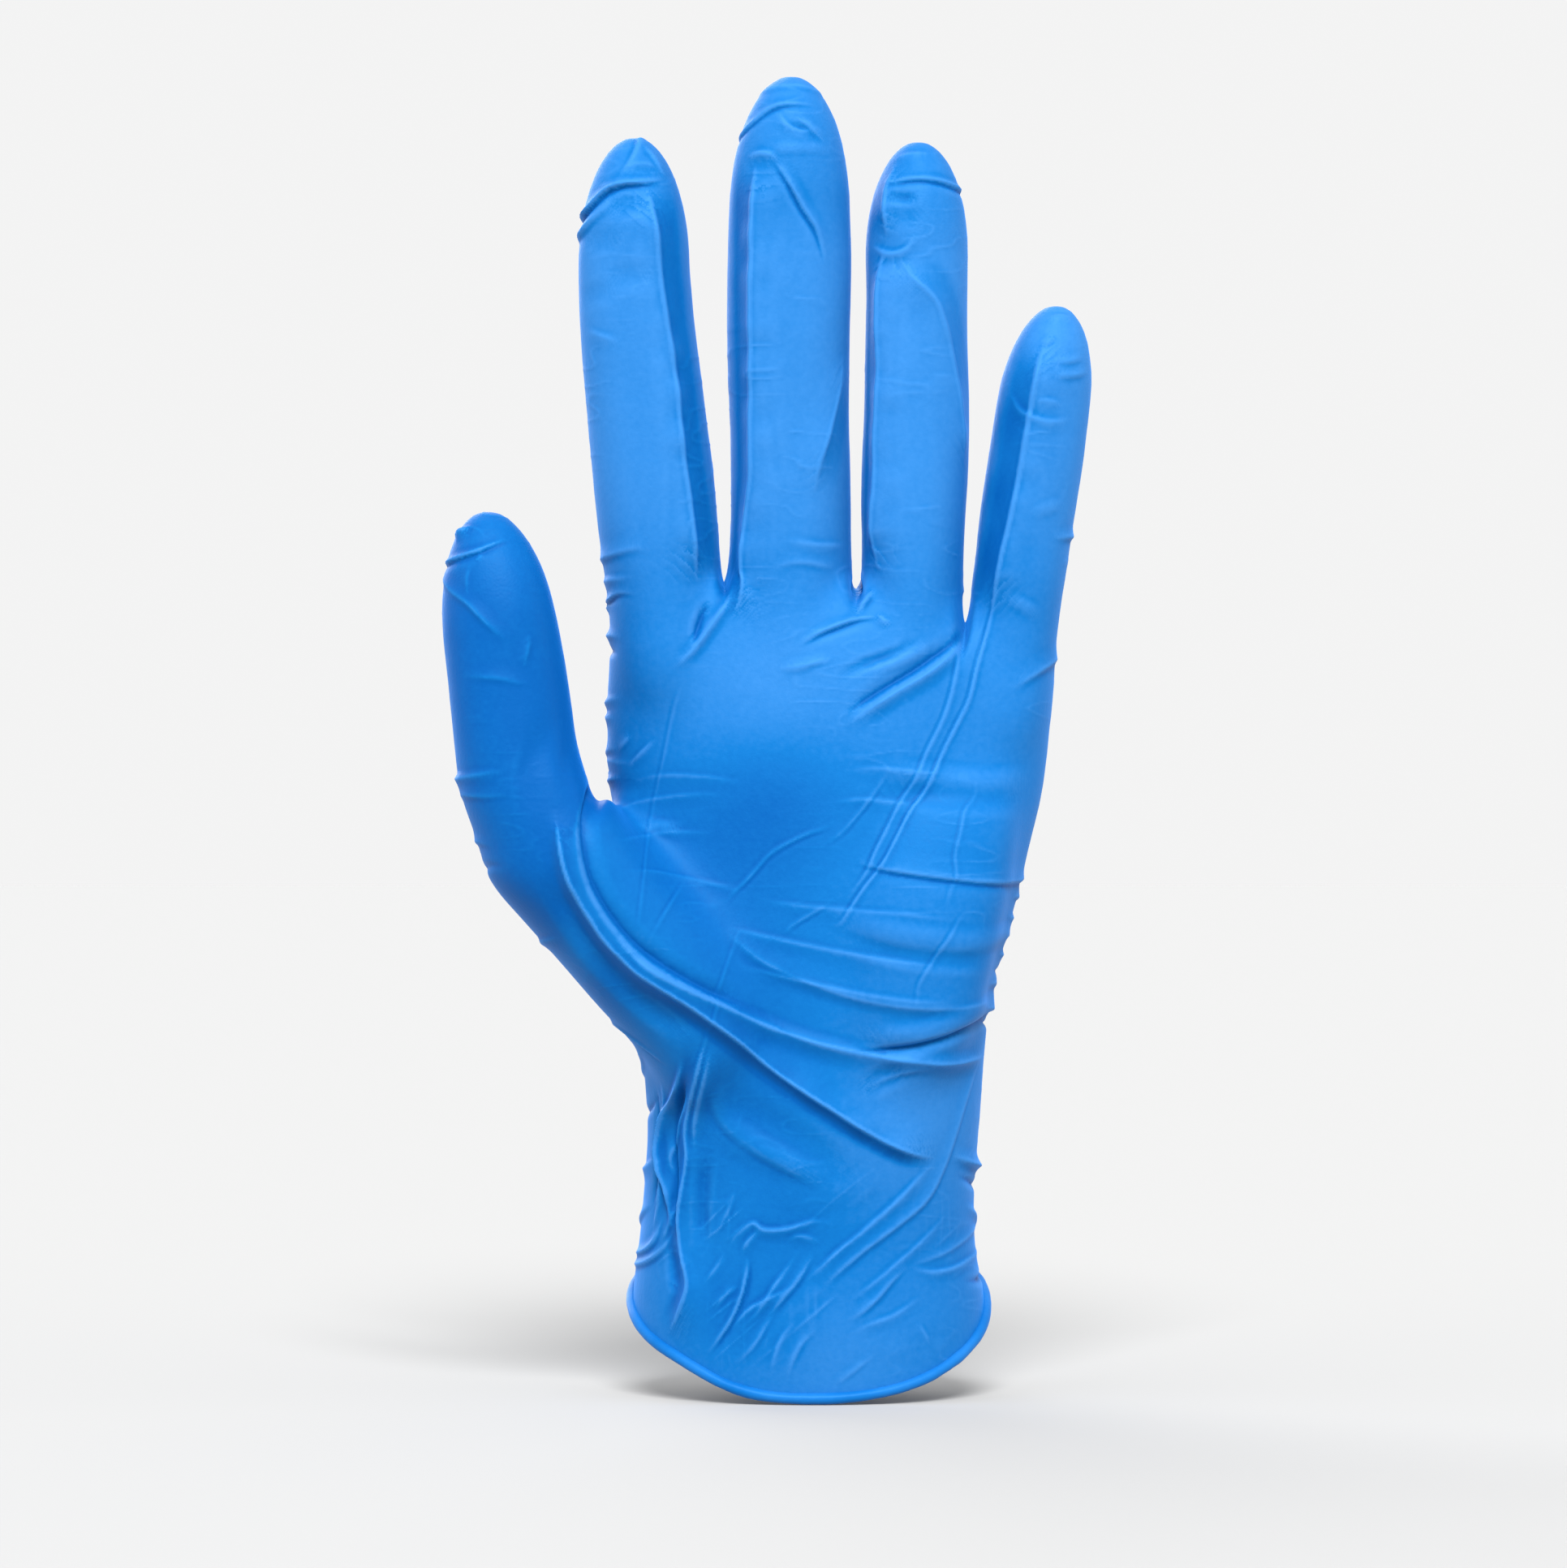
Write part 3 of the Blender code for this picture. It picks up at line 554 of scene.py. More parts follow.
    ("ridge", 0.35, 1.3, 3.2, [(-64.2, 94.6), (-62.8, 95.2), (-58.1, 96), (-53.5, 96.6)]),
    ("ridge", 0.28, 2.7, 1.2, [(-63, 92), (-61.5, 92.2), (-57.1, 92), (-53.1, 92.8)]),
    ("soft", -0.24, 3.0, 3.0, [(-47.5, 108), (-48.6, 101.5), (-50.3, 94.5), (-49, 87)]),
    ("soft", 0.21, 2.6, 2.6, [(-44.6, 108.3), (-45, 102), (-45.4, 95.6), (-44, 88.5)]),
    ("ridge", 0.14, 1.0, 2.2, [(-46.5, 86), (-44.2, 86.3), (-42.1, 86)]),
    # wrist, thumb side
    ("facet", 1.4, 7.0, 2.6, [
        (-19, 48.3), (-20.6, 42.1), (-21.5, 36.9), (-22.1, 31.6), (-21.8, 27.2), (-22.7, 21.1),
        (-23.4, 15.8), (-23, 10.5), (-21.9, 5.3), (-22.1, 2.6), (-23.8, -1.7), (-26, -5.3)]),
    ("ridge", 0.6, 2.8, 1.0, [(-17.7, 48.3), (-19.4, 41.3), (-20.2, 36.5), (-20.6, 31.5), (-20.4, 27)]),
    ("ridge", 1.1, 2.2, 0.9, [
        (-23, 45.6), (-24.3, 39.5), (-26.2, 35.1), (-27.1, 29.8), (-26.9, 25.5), (-25.9, 21.1),
        (-25.2, 15.8), (-24.7, 12.4)]),
    ("groove", -1.3, 1.1, 2.0, [
        (-22.3, 43), (-23.2, 37.5), (-24.4, 33), (-24.7, 27.5), (-24.4, 22.5), (-24.3, 17), (-23.6, 11)]),
    ("ridge", 0.9, 2.0, 0.9, [
        (-26.9, 41), (-26.4, 35.1), (-27.3, 29.4), (-26.8, 24.6), (-27.3, 19.3), (-28.6, 13.2)]),
    ("groove", -0.9, 1.0, 1.6, [(-27.9, 40), (-27.8, 34.5), (-28.3, 28.5), (-28, 23), (-28.6, 17)]),
    ("ridge", 0.6, 0.8, 1.8, [(-21.9, 38.8), (-23.4, 33.7), (-24, 30.7), (-25.6, 26.5), (-24.3, 22.4)]),
    ("ridge", 0.5, 0.8, 1.6, [(-22.4, 19.8), (-24.4, 17.6), (-25.7, 14), (-27.4, 11.5)]),
    ("ridge", 0.55, 1.8, 0.9, [(-32.4, 8.3), (-29.1, 10.5), (-27.6, 13.4), (-26.6, 17.4)]),
    ("ridge", 0.5, 1.8, 0.9, [(-32.4, 6.4), (-28.7, 8.4), (-25.8, 11.6), (-24.4, 15)]),
    ("soft", -0.6, 2.4, 2.4, [(-24.6, 12), (-24.6, 7), (-24.2, 2)]),
    ("step", 0.5, 1.8, 1.6, [(-37, 52.3), (-35, 50.9), (-32, 48.6), (-29, 46.1), (-25.5, 43.5)]),
    ("soft", 0.4, 3.4, 2.0, [(-17.2, 42), (-16.2, 35), (-11, 30), (-4, 26), (4, 22)]),
    ("soft", -0.5, 2.2, 2.2, [(-18.6, 30), (-19.2, 24), (-19.6, 17), (-19.4, 9)]),
    # cuff, middle
    ("ridge", 0.36, 0.9, 2.2, [
        (-14.8, 9.6), (-14.2, 12.4), (-12.3, 14.4), (-10.2, 15.9), (-9, 14.4), (-4.1, 14.6), (0.3, 16),
        (4.6, 15.2)]),
    ("ridge", 0.26, 1.8, 0.8, [(-9, 14.6), (-11.4, 12.4), (-12.8, 9.6)]),
    ("ridge", 0.2, 0.8, 1.8, [(-5, 12.2), (-2.4, 13.4), (0.2, 12.8), (1.6, 11.8)]),
    ("step", 0.59, 1.4, 2.4, [
        (-18.9, -9.2), (-16.8, -6), (-14.6, -2.8), (-12.6, 1.6), (-11.6, 5.6), (-11.2, 8.6),
        (-12.2, 10.4)]),
    ("ridge", 0.33, 0.8, 2.4, [(-16, -6), (-12.4, -1), (-9, 1.4), (-5.9, 2.8), (-2.3, 4.6)]),
    ("ridge", 0.4, 2.2, 0.8, [(-8.6, -2.4), (-5.6, 1.6), (-3, 4.6), (-1, 7.8), (0.6, 11)]),
    ("ridge", 0.3, 0.8, 2.0, [(-13.4, -4.2), (-9.8, -0.6), (-7, 3.8), (-4, 8), (-2.2, 11.2)]),
    ("ridge", 0.26, 2.0, 0.8, [(-17.8, -0.6), (-15, 3), (-12.8, 4.6)]),
    ("ridge", 0.23, 1.8, 0.8, [(-14.4, -10.6), (-10.4, -6.6), (-8.2, -2.8), (-6.2, 0.4)]),
    ("ridge", 0.2, 0.8, 1.6, [(-7.4, -12.2), (-6.6, -8.2), (-5, -4.4), (-2.2, -1.4)]),
    ("ridge", 0.2, 1.6, 0.8, [(-4.4, -12.8), (-3.4, -9), (-1.4, -5.4), (1.4, -3.2)]),
    ("ridge", 0.17, 0.8, 1.6, [(-19.6, 4), (-17, 7.6), (-15.4, 10.4)]),
    ("ridge", 0.17, 1.6, 0.8, [(-18, 12), (-14.6, 18.4), (-13.6, 23)]),
    # cuff, little finger side
    ("ridge", 0.33, 2.6, 0.9, [
        (22.7, 26.8), (19.4, 23.6), (15.2, 19.3), (11.6, 16.2), (8.2, 13.2), (4.6, 10.4), (1.2, 7.2),
        (-2.3, 4.4)]),
    ("ridge", 0.33, 0.9, 2.6, [
        (30, 45), (28.4, 39.5), (25.7, 30.7), (23.4, 24.4), (20.5, 19.3), (15.2, 14.9), (8.2, 9.7),
        (1.2, 3.5)]),
    ("ridge", 0.2, 2.0, 0.8, [(24.9, 17.4), (21.7, 13.8), (18, 10.4), (14.9, 7.8), (11.2, 4.7), (6, 1)]),
    ("ridge", 0.36, 0.8, 2.2, [(17.6, 8), (14.2, 4.8), (11.7, 1.8), (8.6, -0.8), (5.8, -2.4)]),
    ("ridge", 0.33, 0.9, 2.0, [(17.2, 7.5), (21.4, 6.4), (25, 6.7), (28.1, 7.9), (31, 9.6)]),
    ("ridge", 0.26, 2.0, 0.9, [(17.4, 7.8), (21.4, 8.8), (25, 10.2), (28.8, 12.6), (31, 15)]),
    ("ridge", 0.17, 2.0, 0.8, [(20.5, 2.6), (15.2, -1), (10.8, -2.6), (6.4, -4.6)]),
    ("ridge", 0.13, 0.8, 1.6, [(18.9, -2.4), (20.4, -4.6), (21.5, -6.9)]),
    ("ridge", 0.13, 1.6, 0.8, [(3.6, -14), (7.6, -11), (11.5, -8)]),
    ("soft", 0.13, 3.6, 3.6, [(-8, 22), (3, 20.5), (14, 25.5)]),
    ("ridge", 0.23, 3.0, 1.2, [(8, 39), (13, 41.4), (18, 43), (23, 43.4)]),
    # folds that wrap round the little finger's side: x, y, z
    ("ridge", 0.7, 2.2, 1.2, [(38, -17, 76.8), (39.6, -10, 77), (38, -2, 78.6), (33, 3, 81.5)]),
    ("ridge", 0.6, 2.5, 1.0, [(36, -19, 74), (38.5, -11, 73.4), (37.5, -4, 71.6), (32, 2, 68.5)]),
    ("ridge", 0.55, 1.0, 2.7, [(35, -19, 70.6), (37.2, -11, 69.8), (36.4, -5, 69.4)]),
    ("ridge", 0.5, 2.3, 1.0, [(34, -18, 66.6), (36, -11, 66.8), (35, -3, 64.8), (29, 4, 61)]),
    ("ridge", 0.5, 1.1, 2.2, [(33, -18, 64), (34.8, -10, 63.2), (34, -5, 62.2)]),
    ("groove", -0.6, 1.2, 1.4, [(32, -19, 60.8), (33.5, -10, 60.2), (31.5, -2, 58.4), (26, 5, 55)]),
    ("ridge", 0.5, 2.9, 1.3, [(30, -21, 58.6), (33.3, -11, 58), (31, -1, 55.4)]),
    ("groove", -0.9, 1.4, 1.4, [(31.2, -19, 51.6), (32.3, -10, 50.8), (30.5, -1, 48.6), (25, 7, 45)]),
    ("ridge", 0.7, 2.4, 1.4, [(31, -20, 54), (32.3, -9, 53.2), (29, 2, 50.2), (20, 8.5, 46)]),
    ("ridge", 1.2, 2.6, 1.8, [(26, -20, 27.4), (30, -13, 25.6), (31, -4, 24.8), (29, 6, 24.6)]),
    ("groove", -0.6, 1.5, 1.5, [(27, -18, 23.6), (29.6, -10, 22), (29.4, 2, 20.6), (26, 12, 20)]),
    ("ridge", 0.6, 1.3, 2.3, [(28.5, -14, 18.4), (30, -5, 16), (29.6, 5, 12.6), (27, 14, 9)]),
    ("groove", -0.7, 1.4, 1.4, [(29, -14, 4.6), (31, -4, 4.2), (30.8, 8, 5.6), (27, 16, 8)]),
    # folds that wrap round the index finger's side of the palm
    ("ridge", 0.7, 1.8, 1.3, [(-35, -21, 126.8), (-37.2, -13, 126), (-36.5, -6, 124.6), (-31, -1, 122)]),
    ("ridge", 0.8, 2.2, 1.8, [(-34, -23, 120.6), (-37.3, -14, 121), (-36.8, -7, 120.2), (-33, -1, 117)]),
    ("groove", -0.6, 1.4, 1.4, [(-34.5, -21, 117.6), (-37, -12, 118.2), (-36, -5, 116)]),
    ("ridge", 0.6, 2.0, 1.4, [(-34.5, -22, 109.8), (-37, -13, 108.9), (-36, -4, 107), (-29, 1.5, 105)]),
    ("ridge", 0.5, 2.3, 1.3, [(-35.5, -19, 106), (-37, -12, 106.2), (-36.4, -6, 104.8)]),
    ("ridge", 0.5, 1.3, 2.9, [(-34.5, -22, 101), (-37, -13, 99.9), (-36, -5, 97.6), (-30, 1.5, 93)]),
    ("ridge", 0.6, 2.9, 1.3, [(-35, -21, 95.4), (-37.2, -13, 94.7), (-37, -8, 93.6)]),
    # the thumb's outer side
    ("ridge", 0.9, 1.0, 2.7, [(-65.5, -31, 138.6), (-64.4, -33, 140.4), (-61.5, -36, 141.2)]),
    ("ridge", 0.4, 2.9, 1.1, [(-62, -36, 95.5), (-63.4, -27, 95), (-61, -18, 93)]),
    ("ridge", 0.4, 1.2, 2.7, [(-58, -38, 82.5), (-59.8, -28, 84), (-57, -17, 83)]),
    ("groove", -0.4, 1.5, 1.5, [(-55, -38.5, 79.5), (-57.4, -28, 79.6), (-54, -15, 77)]),
    ("ridge", 0.5, 2.9, 1.3, [(-45, -36, 66.5), (-48.4, -25, 66), (-45, -10, 65), (-38, -2, 66)]),
    ("ridge", 0.5, 1.4, 2.5, [(-31.5, -25, 46), (-32.6, -16, 44), (-31, -4, 41), (-26, 5, 39)]),
    ("groove", -0.6, 1.6, 1.6, [(-30.5, -20, 37.5), (-30.8, -10, 35), (-29, 2, 33.5)]),
    ("ridge", 0.6, 2.9, 1.1, [(-30, -16, 27), (-31.2, -6, 24.5), (-30, 6, 24.5), (-24, 15, 27)]),
    ("ridge", 0.5, 1.1, 2.5, [(-30.5, -14, 19), (-31.6, -4, 15.5), (-30.5, 8, 12)]),
    # faint stretched creases, fanning across the palm
    ("ridge", 0.15, 0.8, 2.2, [(-33, 94.4), (-28, 95.6), (-23, 95.7), (-17, 95.2), (-11.3, 94)]),
    ("ridge", 0.15, 0.8, 2.2, [(-36, 89.2), (-31.5, 90.8), (-26.8, 91.7), (-21, 92.3), (-15, 92.2)]),
    ("ridge", 0.13, 0.8, 2.4, [(-35.6, 83.6), (-29.5, 85), (-23, 85.6), (-16, 85.2)]),
    ("ridge", 0.13, 0.8, 2.4, [(-33.8, 78.8), (-28, 78.6), (-22, 77.4), (-15.5, 75.8), (-9.9, 74.5)]),
    ("ridge", 0.17, 0.8, 2.6, [(-10, 73.6), (-1.5, 72.4), (7, 71.7), (16, 71), (25.2, 69.9)]),
    ("ridge", 0.20, 0.9, 2.6, [
        (-16.4, 68.8), (-8.5, 67), (-0.9, 65.4), (7, 63.9), (14.8, 62.6), (24, 61.6)]),
    ("ridge", 0.20, 0.9, 2.6, [
        (-13.8, 62.2), (-6, 60), (1.8, 58.2), (9.6, 56.7), (17.4, 55.6), (25, 55.2)]),
    ("ridge", 0.15, 0.8, 2.2, [(2, 90.6), (8, 91.4), (14, 91), (21, 90.2)]),
    ("ridge", 0.13, 0.8, 2.2, [(5, 96.4), (11, 97), (18, 96.4), (26, 95.6)]),
]


# The folds of the back of the hand, in the same way; left and right as seen from the back
BACK_FOLDS = [
    # knuckles, and the sinews behind them
    ("soft", 0.9, 7.0, 7.0, [(-29, 144), (-27, 130), (-24, 114)]),
    ("soft", 1.0, 7.0, 7.0, [(-4, 147), (-3.6, 132), (-3.4, 116)]),
    ("soft", 0.9, 6.5, 6.5, [(18.6, 143), (18, 128), (16.4, 112)]),
    ("soft", 0.8, 6.0, 6.0, [(37.4, 131), (35.4, 119), (32, 105)]),
    ("soft", 0.5, 3.6, 3.6, [(-26, 124), (-20, 98), (-12, 66)]),
    ("soft", 0.5, 3.6, 3.6, [(-4, 126), (-3, 98), (-2, 66)]),
    ("soft", 0.45, 3.6, 3.6, [(18, 122), (14, 96), (8, 68)]),
    ("soft", 0.45, 3.6, 3.6, [(35, 113), (28, 92), (18, 68)]),
    ("ridge", 0.35, 1.0, 2.4, [(-37, 131), (-31, 133), (-25, 132.6), (-20, 130)]),
    ("ridge", 0.35, 2.4, 1.0, [(-11, 134.6), (-5, 136.2), (1, 135.8), (6, 133.4)]),
    ("ridge", 0.3, 1.0, 2.4, [(11, 130.6), (17, 132.4), (23, 131.6), (28, 128.6)]),
    ("groove", -0.5, 2.2, 2.2, [(-15.5, 130), (-15, 121), (-14, 112)]),
    ("groove", -0.5, 2.2, 2.2, [(7.6, 129), (7, 119), (6, 111)]),
    ("groove", -0.5, 2.2, 2.2, [(27.6, 122), (26, 112), (24, 104)]),
    # across the finger joints
    ("ridge", 0.4, 1.2, 1.2, [(-39, 162), (-35, 163.6), (-30, 164), (-25, 163.2), (-21.5, 161.4)]),
    ("ridge", 0.45, 1.2, 1.3, [(-38, 166.4), (-34, 167.2), (-30, 167.4), (-26, 167), (-22.5, 166)]),
    ("ridge", 0.35, 1.2, 1.2, [(-37, 170.6), (-31, 170.6), (-24.5, 171.2)]),
    ("ridge", 0.4, 1.2, 1.2, [(-12.5, 165.4), (-8, 166.8), (-3.5, 167.2), (1, 166.6), (5, 165)]),
    ("ridge", 0.45, 1.3, 1.2, [(-13, 170.4), (-8, 170.8), (-3, 171), (2.5, 170.4), (6, 169.8)]),
    ("ridge", 0.35, 1.2, 1.2, [(-11, 174.8), (-4, 174.4), (3.5, 175.2)]),
    ("ridge", 0.4, 1.2, 1.2, [(10.5, 161), (14.5, 162.2), (19, 162.4), (24, 161.4), (27, 160.2)]),
    ("ridge", 0.45, 1.2, 1.3, [(10.8, 165.2), (16, 165.8), (21, 165.6), (26.5, 164.8)]),
    ("ridge", 0.3, 1.2, 1.2, [(12.5, 169.2), (18.5, 168.8), (25, 169.6)]),
    ("ridge", 0.4, 1.1, 1.1, [(32.4, 145.6), (36.5, 147), (41, 147), (46, 145.8)]),
    ("ridge", 0.4, 1.1, 1.2, [(33, 149.6), (38, 150.2), (43, 150), (47.5, 149.2)]),
    ("ridge", 0.35, 1.2, 1.2, [(-38.5, 186.6), (-32, 187.8), (-25, 186.8)]),
    ("ridge", 0.35, 1.2, 1.2, [(-11, 194.6), (-4, 195.8), (3.5, 194.8)]),
    ("ridge", 0.35, 1.2, 1.2, [(12, 186.6), (19, 187.6), (26, 186.4)]),
    ("ridge", 0.35, 1.1, 1.1, [(37, 163.8), (42, 164.8), (47.5, 163.8)]),
    ("ridge", 0.4, 1.3, 1.3, [(-62, 119), (-57, 120.6), (-51, 119.6), (-47, 117.6)]),
    ("ridge", 0.35, 1.2, 1.2, [(-61, 122.8), (-55, 123.8), (-49.5, 122.8)]),
    # drawn lines from the thumb, and along the fingers
    ("facet", 0.8, 5.0, 5.0, [(-47, 112), (-44, 98), (-38, 84), (-32, 70), (-27, 58)]),
    ("crease", 0.24, 0.9, 0.9, [(-37, 96), (-28, 100), (-17, 102), (-6, 101)]),
    ("crease", 0.22, 0.9, 0.9, [(-36, 89), (-26, 92), (-15, 92.5)]),
    ("crease", 0.24, 0.9, 0.9, [(39, 100), (30, 105), (20, 107.5), (9, 107)]),
    ("crease", 0.22, 0.9, 0.9, [(-34, 156), (-32.5, 146), (-31, 136), (-29, 128)]),
    ("crease", 0.22, 0.9, 0.9, [(0.5, 160), (1, 149), (0.5, 138)]),
    ("crease", 0.22, 0.9, 0.9, [(22, 156), (22.5, 146), (22, 136), (20, 129)]),
    # the wrist
    ("step", 0.9, 4.0, 5.0, [(30.5, 61), (22, 56), (11, 52.6), (-1, 51.4), (-13, 53), (-25, 57.5)]),
    ("ridge", 0.7, 2.4, 3.2, [(28, 44), (18, 41), (6, 40.6), (-6, 42.6), (-18, 46.4), (-27, 51)]),
    ("step", 0.6, 3.0, 3.6, [(24, 34), (14, 30.6), (2, 30.2), (-9, 33), (-17, 37)]),
    ("ridge", 0.5, 1.8, 1.8, [(-28, 32), (-20, 27), (-11, 24), (0, 23.4)]),
    # the cuff
    ("ridge", 0.5, 0.8, 2.4, [(-27, 9), (-22, 16), (-16, 22), (-9, 26)]),
    ("ridge", 0.45, 2.4, 0.8, [(-23, 8), (-16, 13), (-8, 16.6)]),
    ("ridge", 0.45, 0.8, 2.2, [(-5, 9), (-3.4, 15), (0, 21), (5, 26)]),
    ("ridge", 0.45, 2.4, 0.8, [(25, 9.6), (17, 14), (11, 20), (8, 27)]),
    ("ridge", 0.4, 0.8, 2.4, [(28, 16), (21, 20), (16, 26)]),
    ("ridge", 0.3, 2.0, 0.8, [(-1, 6), (5, 10.6), (12, 12.6)]),
    ("ridge", 0.3, 0.8, 2.0, [(-14, 5), (-11, 9), (-9.6, 13)]),
]


# A step's edge rises over this width, mm, and the film below it is sunk by this share of its height
STEP_RISE = 0.7
STEP_DEPTH = 0.6
# The thin thread that stands on a facet's edge, as a share of its height, and half its width, mm
FACET_THREAD = 0.14
THREAD_WIDTH = 0.4
# The groove beside a crease: a share of its height, and how far it is to the left, mm
CREASE_DEPTH = 0.6
CREASE_OFFSET = -0.6


def profile(style, u, side):
    """A fold's section: 1 on its line, 0 at its width. side is the distance to the left of it, mm."""
    u = np.clip(u, 0, 1)
    if style == "soft":
        return np.cos(u * math.pi / 2) ** 2
    if style == "facet":
        return (1 - u) ** 2 + FACET_THREAD * np.exp(-((side / THREAD_WIDTH) ** 2))
    if style == "step":
        edge = np.clip(side / STEP_RISE + 0.5, 0, 1)
        return (edge * (1 + STEP_DEPTH) - STEP_DEPTH) * (1 - u) ** 2
    if style == "crease":
        return (1 - u) ** 2 - CREASE_DEPTH * np.exp(-((side - CREASE_OFFSET) ** 2) / 0.1)
    return (1 - u) ** 2


# Places well clear of the glove, in front of the palm and behind the back
IN_FRONT = -80.0
BEHIND = 60.0


class Surface:
    """The smooth film, for laying fold lines on it."""

    def __init__(self, points, faces):
        self.tree = BVHTree.FromPolygons(points.tolist(), faces.tolist())

    def lay(self, place, from_back):
        """The film's point and normal nearest x, y, z, or seen at x, z from the palm side or the back."""
        if len(place) == 3:
            hit = self.tree.find_nearest(Vector(place))
            return hit[0], hit[1]
        x, z = place
        start = Vector((x, BEHIND if from_back else IN_FRONT, z))
        hit = self.tree.ray_cast(start, Vector((0, -1.0 if from_back else 1.0, 0)))
        return hit[0], hit[1]


# The rows added between a line's own points, the spacing of the laid line, and its smoothing
LINE_ROWS = 16
LINE_STEP = 0.4
LINE_SMOOTHING = 10
# The radius that rounds a fold's crest, mm
CREST_ROUND = 0.12
# How much painted shade deepens the tone of a facet's narrow flank, per mm of its height
FLANK_SHADE = 0.27
# Steps of 1 mm that a line is carried on past the outline
WRAP_STEPS = 7
# A fold fades in and out over this share of its length, or over this many mm if that is less
TAPER_SHARE = 0.45
TAPER_LENGTH = 9.0


def carried_round(surface, line):
    """Carries a line that meets the outline on round the side of the film."""
    line = list(line)
    for _ in range(WRAP_STEPS):
        ahead = (line[-1][0] - line[-2][0]).normalized()
        line.append(surface.lay(tuple(line[-1][0] + ahead), False))
    return line


def fold_line(surface, points, from_back):
    """Close points along a fold's line on the film, their normals and their run along it."""
    rows = refined([tuple(map(float, p)) for p in points], LINE_ROWS)
    laid = [surface.lay(row, from_back) for row in rows]
    line = [hit for hit in laid if hit[0] is not None]
    if laid[-1][0] is None:
        line = carried_round(surface, line)
    if laid[0][0] is None:
        line = carried_round(surface, line[::-1])[::-1]
    places = np.array([hit[0] for hit in line])
    normals = np.array([hit[1] for hit in line])
    run = np.concatenate([[0], np.cumsum(np.linalg.norm(np.diff(places, axis=0), axis=1))])
    count = max(4, int(run[-1] / LINE_STEP))
    even = np.linspace(0, run[-1], count)
    places = np.stack([np.interp(even, run, places[:, k]) for k in range(3)], axis=1)
    normals = np.stack([np.interp(even, run, normals[:, k]) for k in range(3)], axis=1)
    for _ in range(LINE_SMOOTHING):
        places[1:-1] = (places[:-2] + places[1:-1] * 2 + places[2:]) / 4
        normals[1:-1] = (normals[:-2] + normals[1:-1] * 2 + normals[2:]) / 4
    normals /= np.linalg.norm(normals, axis=1, keepdims=True)
    return places, normals, even


def nearest_on_line(points, places):
    """The index of the line's place that is nearest each point."""
    best = np.full(len(points), 1e9)
    index = np.zeros(len(points), int)
    for k, place in enumerate(places):
        distance = np.sum((points - place) ** 2, axis=1)
        closer = distance < best
        best[closer] = distance[closer]
        index[closer] = k
    return index


def add_fold(surface, points, raised, painted_shade, fold, seed, from_back=False):
    """Adds one fold's height to raised, and painted shade on a facet's narrow flank, which stands in for
    the flank turning away from the light.
    """
    style, height, left_width, right_width, line = fold
    places, normals, along = fold_line(surface, line, from_back)
    reach = max(left_width, right_width)
    low, high = places.min(axis=0) - reach, places.max(axis=0) + reach
    near = np.nonzero(np.all((points > low) & (points < high), axis=1))[0]
    if len(near) == 0:
        return
    tangent = np.gradient(places, axis=0)
    tangent /= np.linalg.norm(tangent, axis=1, keepdims=True)
    leftward = np.cross(normals, tangent)
    index = nearest_on_line(points[near], places)
    offset = points[near] - places[index]
    run = np.sum(offset * tangent[index], axis=1)
    inner = (index > 0) & (index < len(places) - 1)
    offset = offset - np.where(inner, run, 0.0)[:, None] * tangent[index]
    away = np.linalg.norm(offset, axis=1)
    side = np.sum(offset * leftward[index], axis=1)
    away = np.sqrt(away**2 + CREST_ROUND**2) - CREST_ROUND
    width = np.where(side > 0, left_width, right_width)
    length = along[-1]
    place = along[index]
    taper = min(TAPER_SHARE * length, TAPER_LENGTH)
    ends = smoothstep(np.minimum(place, length - place) / taper, 0, 1)
    wander = 1 + 0.2 * noise(points[near], (4.0, 4.0, 4.0), seed)
    raised[near] += height * ends * wander * profile(style, away / width, side)
    # painted shade: a facet's narrow flank is painted deeper, standing in for the dark of a flank turned
    # away from the light
    if style == "facet":
        across = side if left_width < right_width else -side
        flank = smoothstep(across, 0.1, 0.7) * (1 - smoothstep(away / width, 0.9, 1.5))
        painted_shade[near] = np.minimum(painted_shade[near], -FLANK_SHADE * height * ends * flank)


# ---------------------------------------------------------------- pieces

JOINTS = {j["name"]: j for j in frame["joints"]}


def pivot(name):
    return np.array(JOINTS[name]["pos_m"]) / MM


DIGITS = {
    "index": ["index_root", "index_middle_joint", "index_end_joint"],
    "middle": ["middle_root", "middle_middle_joint", "middle_end_joint"],
    "ring": ["ring_root", "ring_middle_joint", "ring_end_joint"],
    "little": ["little_root", "little_middle_joint", "little_end_joint"],
    "thumb": ["thumb_root", "thumb_joint"],
}
# The height where each digit's own skin starts
CROTCH = {"thumb": 94.0, "index": 135.2, "middle": 135.2, "ring": 133.2, "little": 123.4}


def digit_axis(digit):
    """Unit vector along the digit, root to tip."""
    names = DIGITS[digit]
    line = pivot(names[-1]) - pivot(names[0])
    return line / np.linalg.norm(line)


# The fingers' columns in the front view: where each starts, at the webs, and how its side leans
WEB_HEIGHT = 130.0
PARTINGS = {"middle": (-15.3, -0.05), "ring": (8.3, 0.0), "little": (28.2, 0.1)}
THUMB_RIGHT = -40.0
THUMB_TOP = 150.0


def digit_of(points):
    """The digit whose column each point stands in, by its place in the front view."""
    x, z = points[:, 0], points[:, 2]
    found = np.full(len(points), "index", dtype="U8")
    for finger, (place, lean) in PARTINGS.items():
        found[x > place + lean * (z - WEB_HEIGHT)] = finger
    found[(x < THUMB_RIGHT) & (z < THUMB_TOP)] = "thumb"
    return found


WRIST_TOP = 60.0


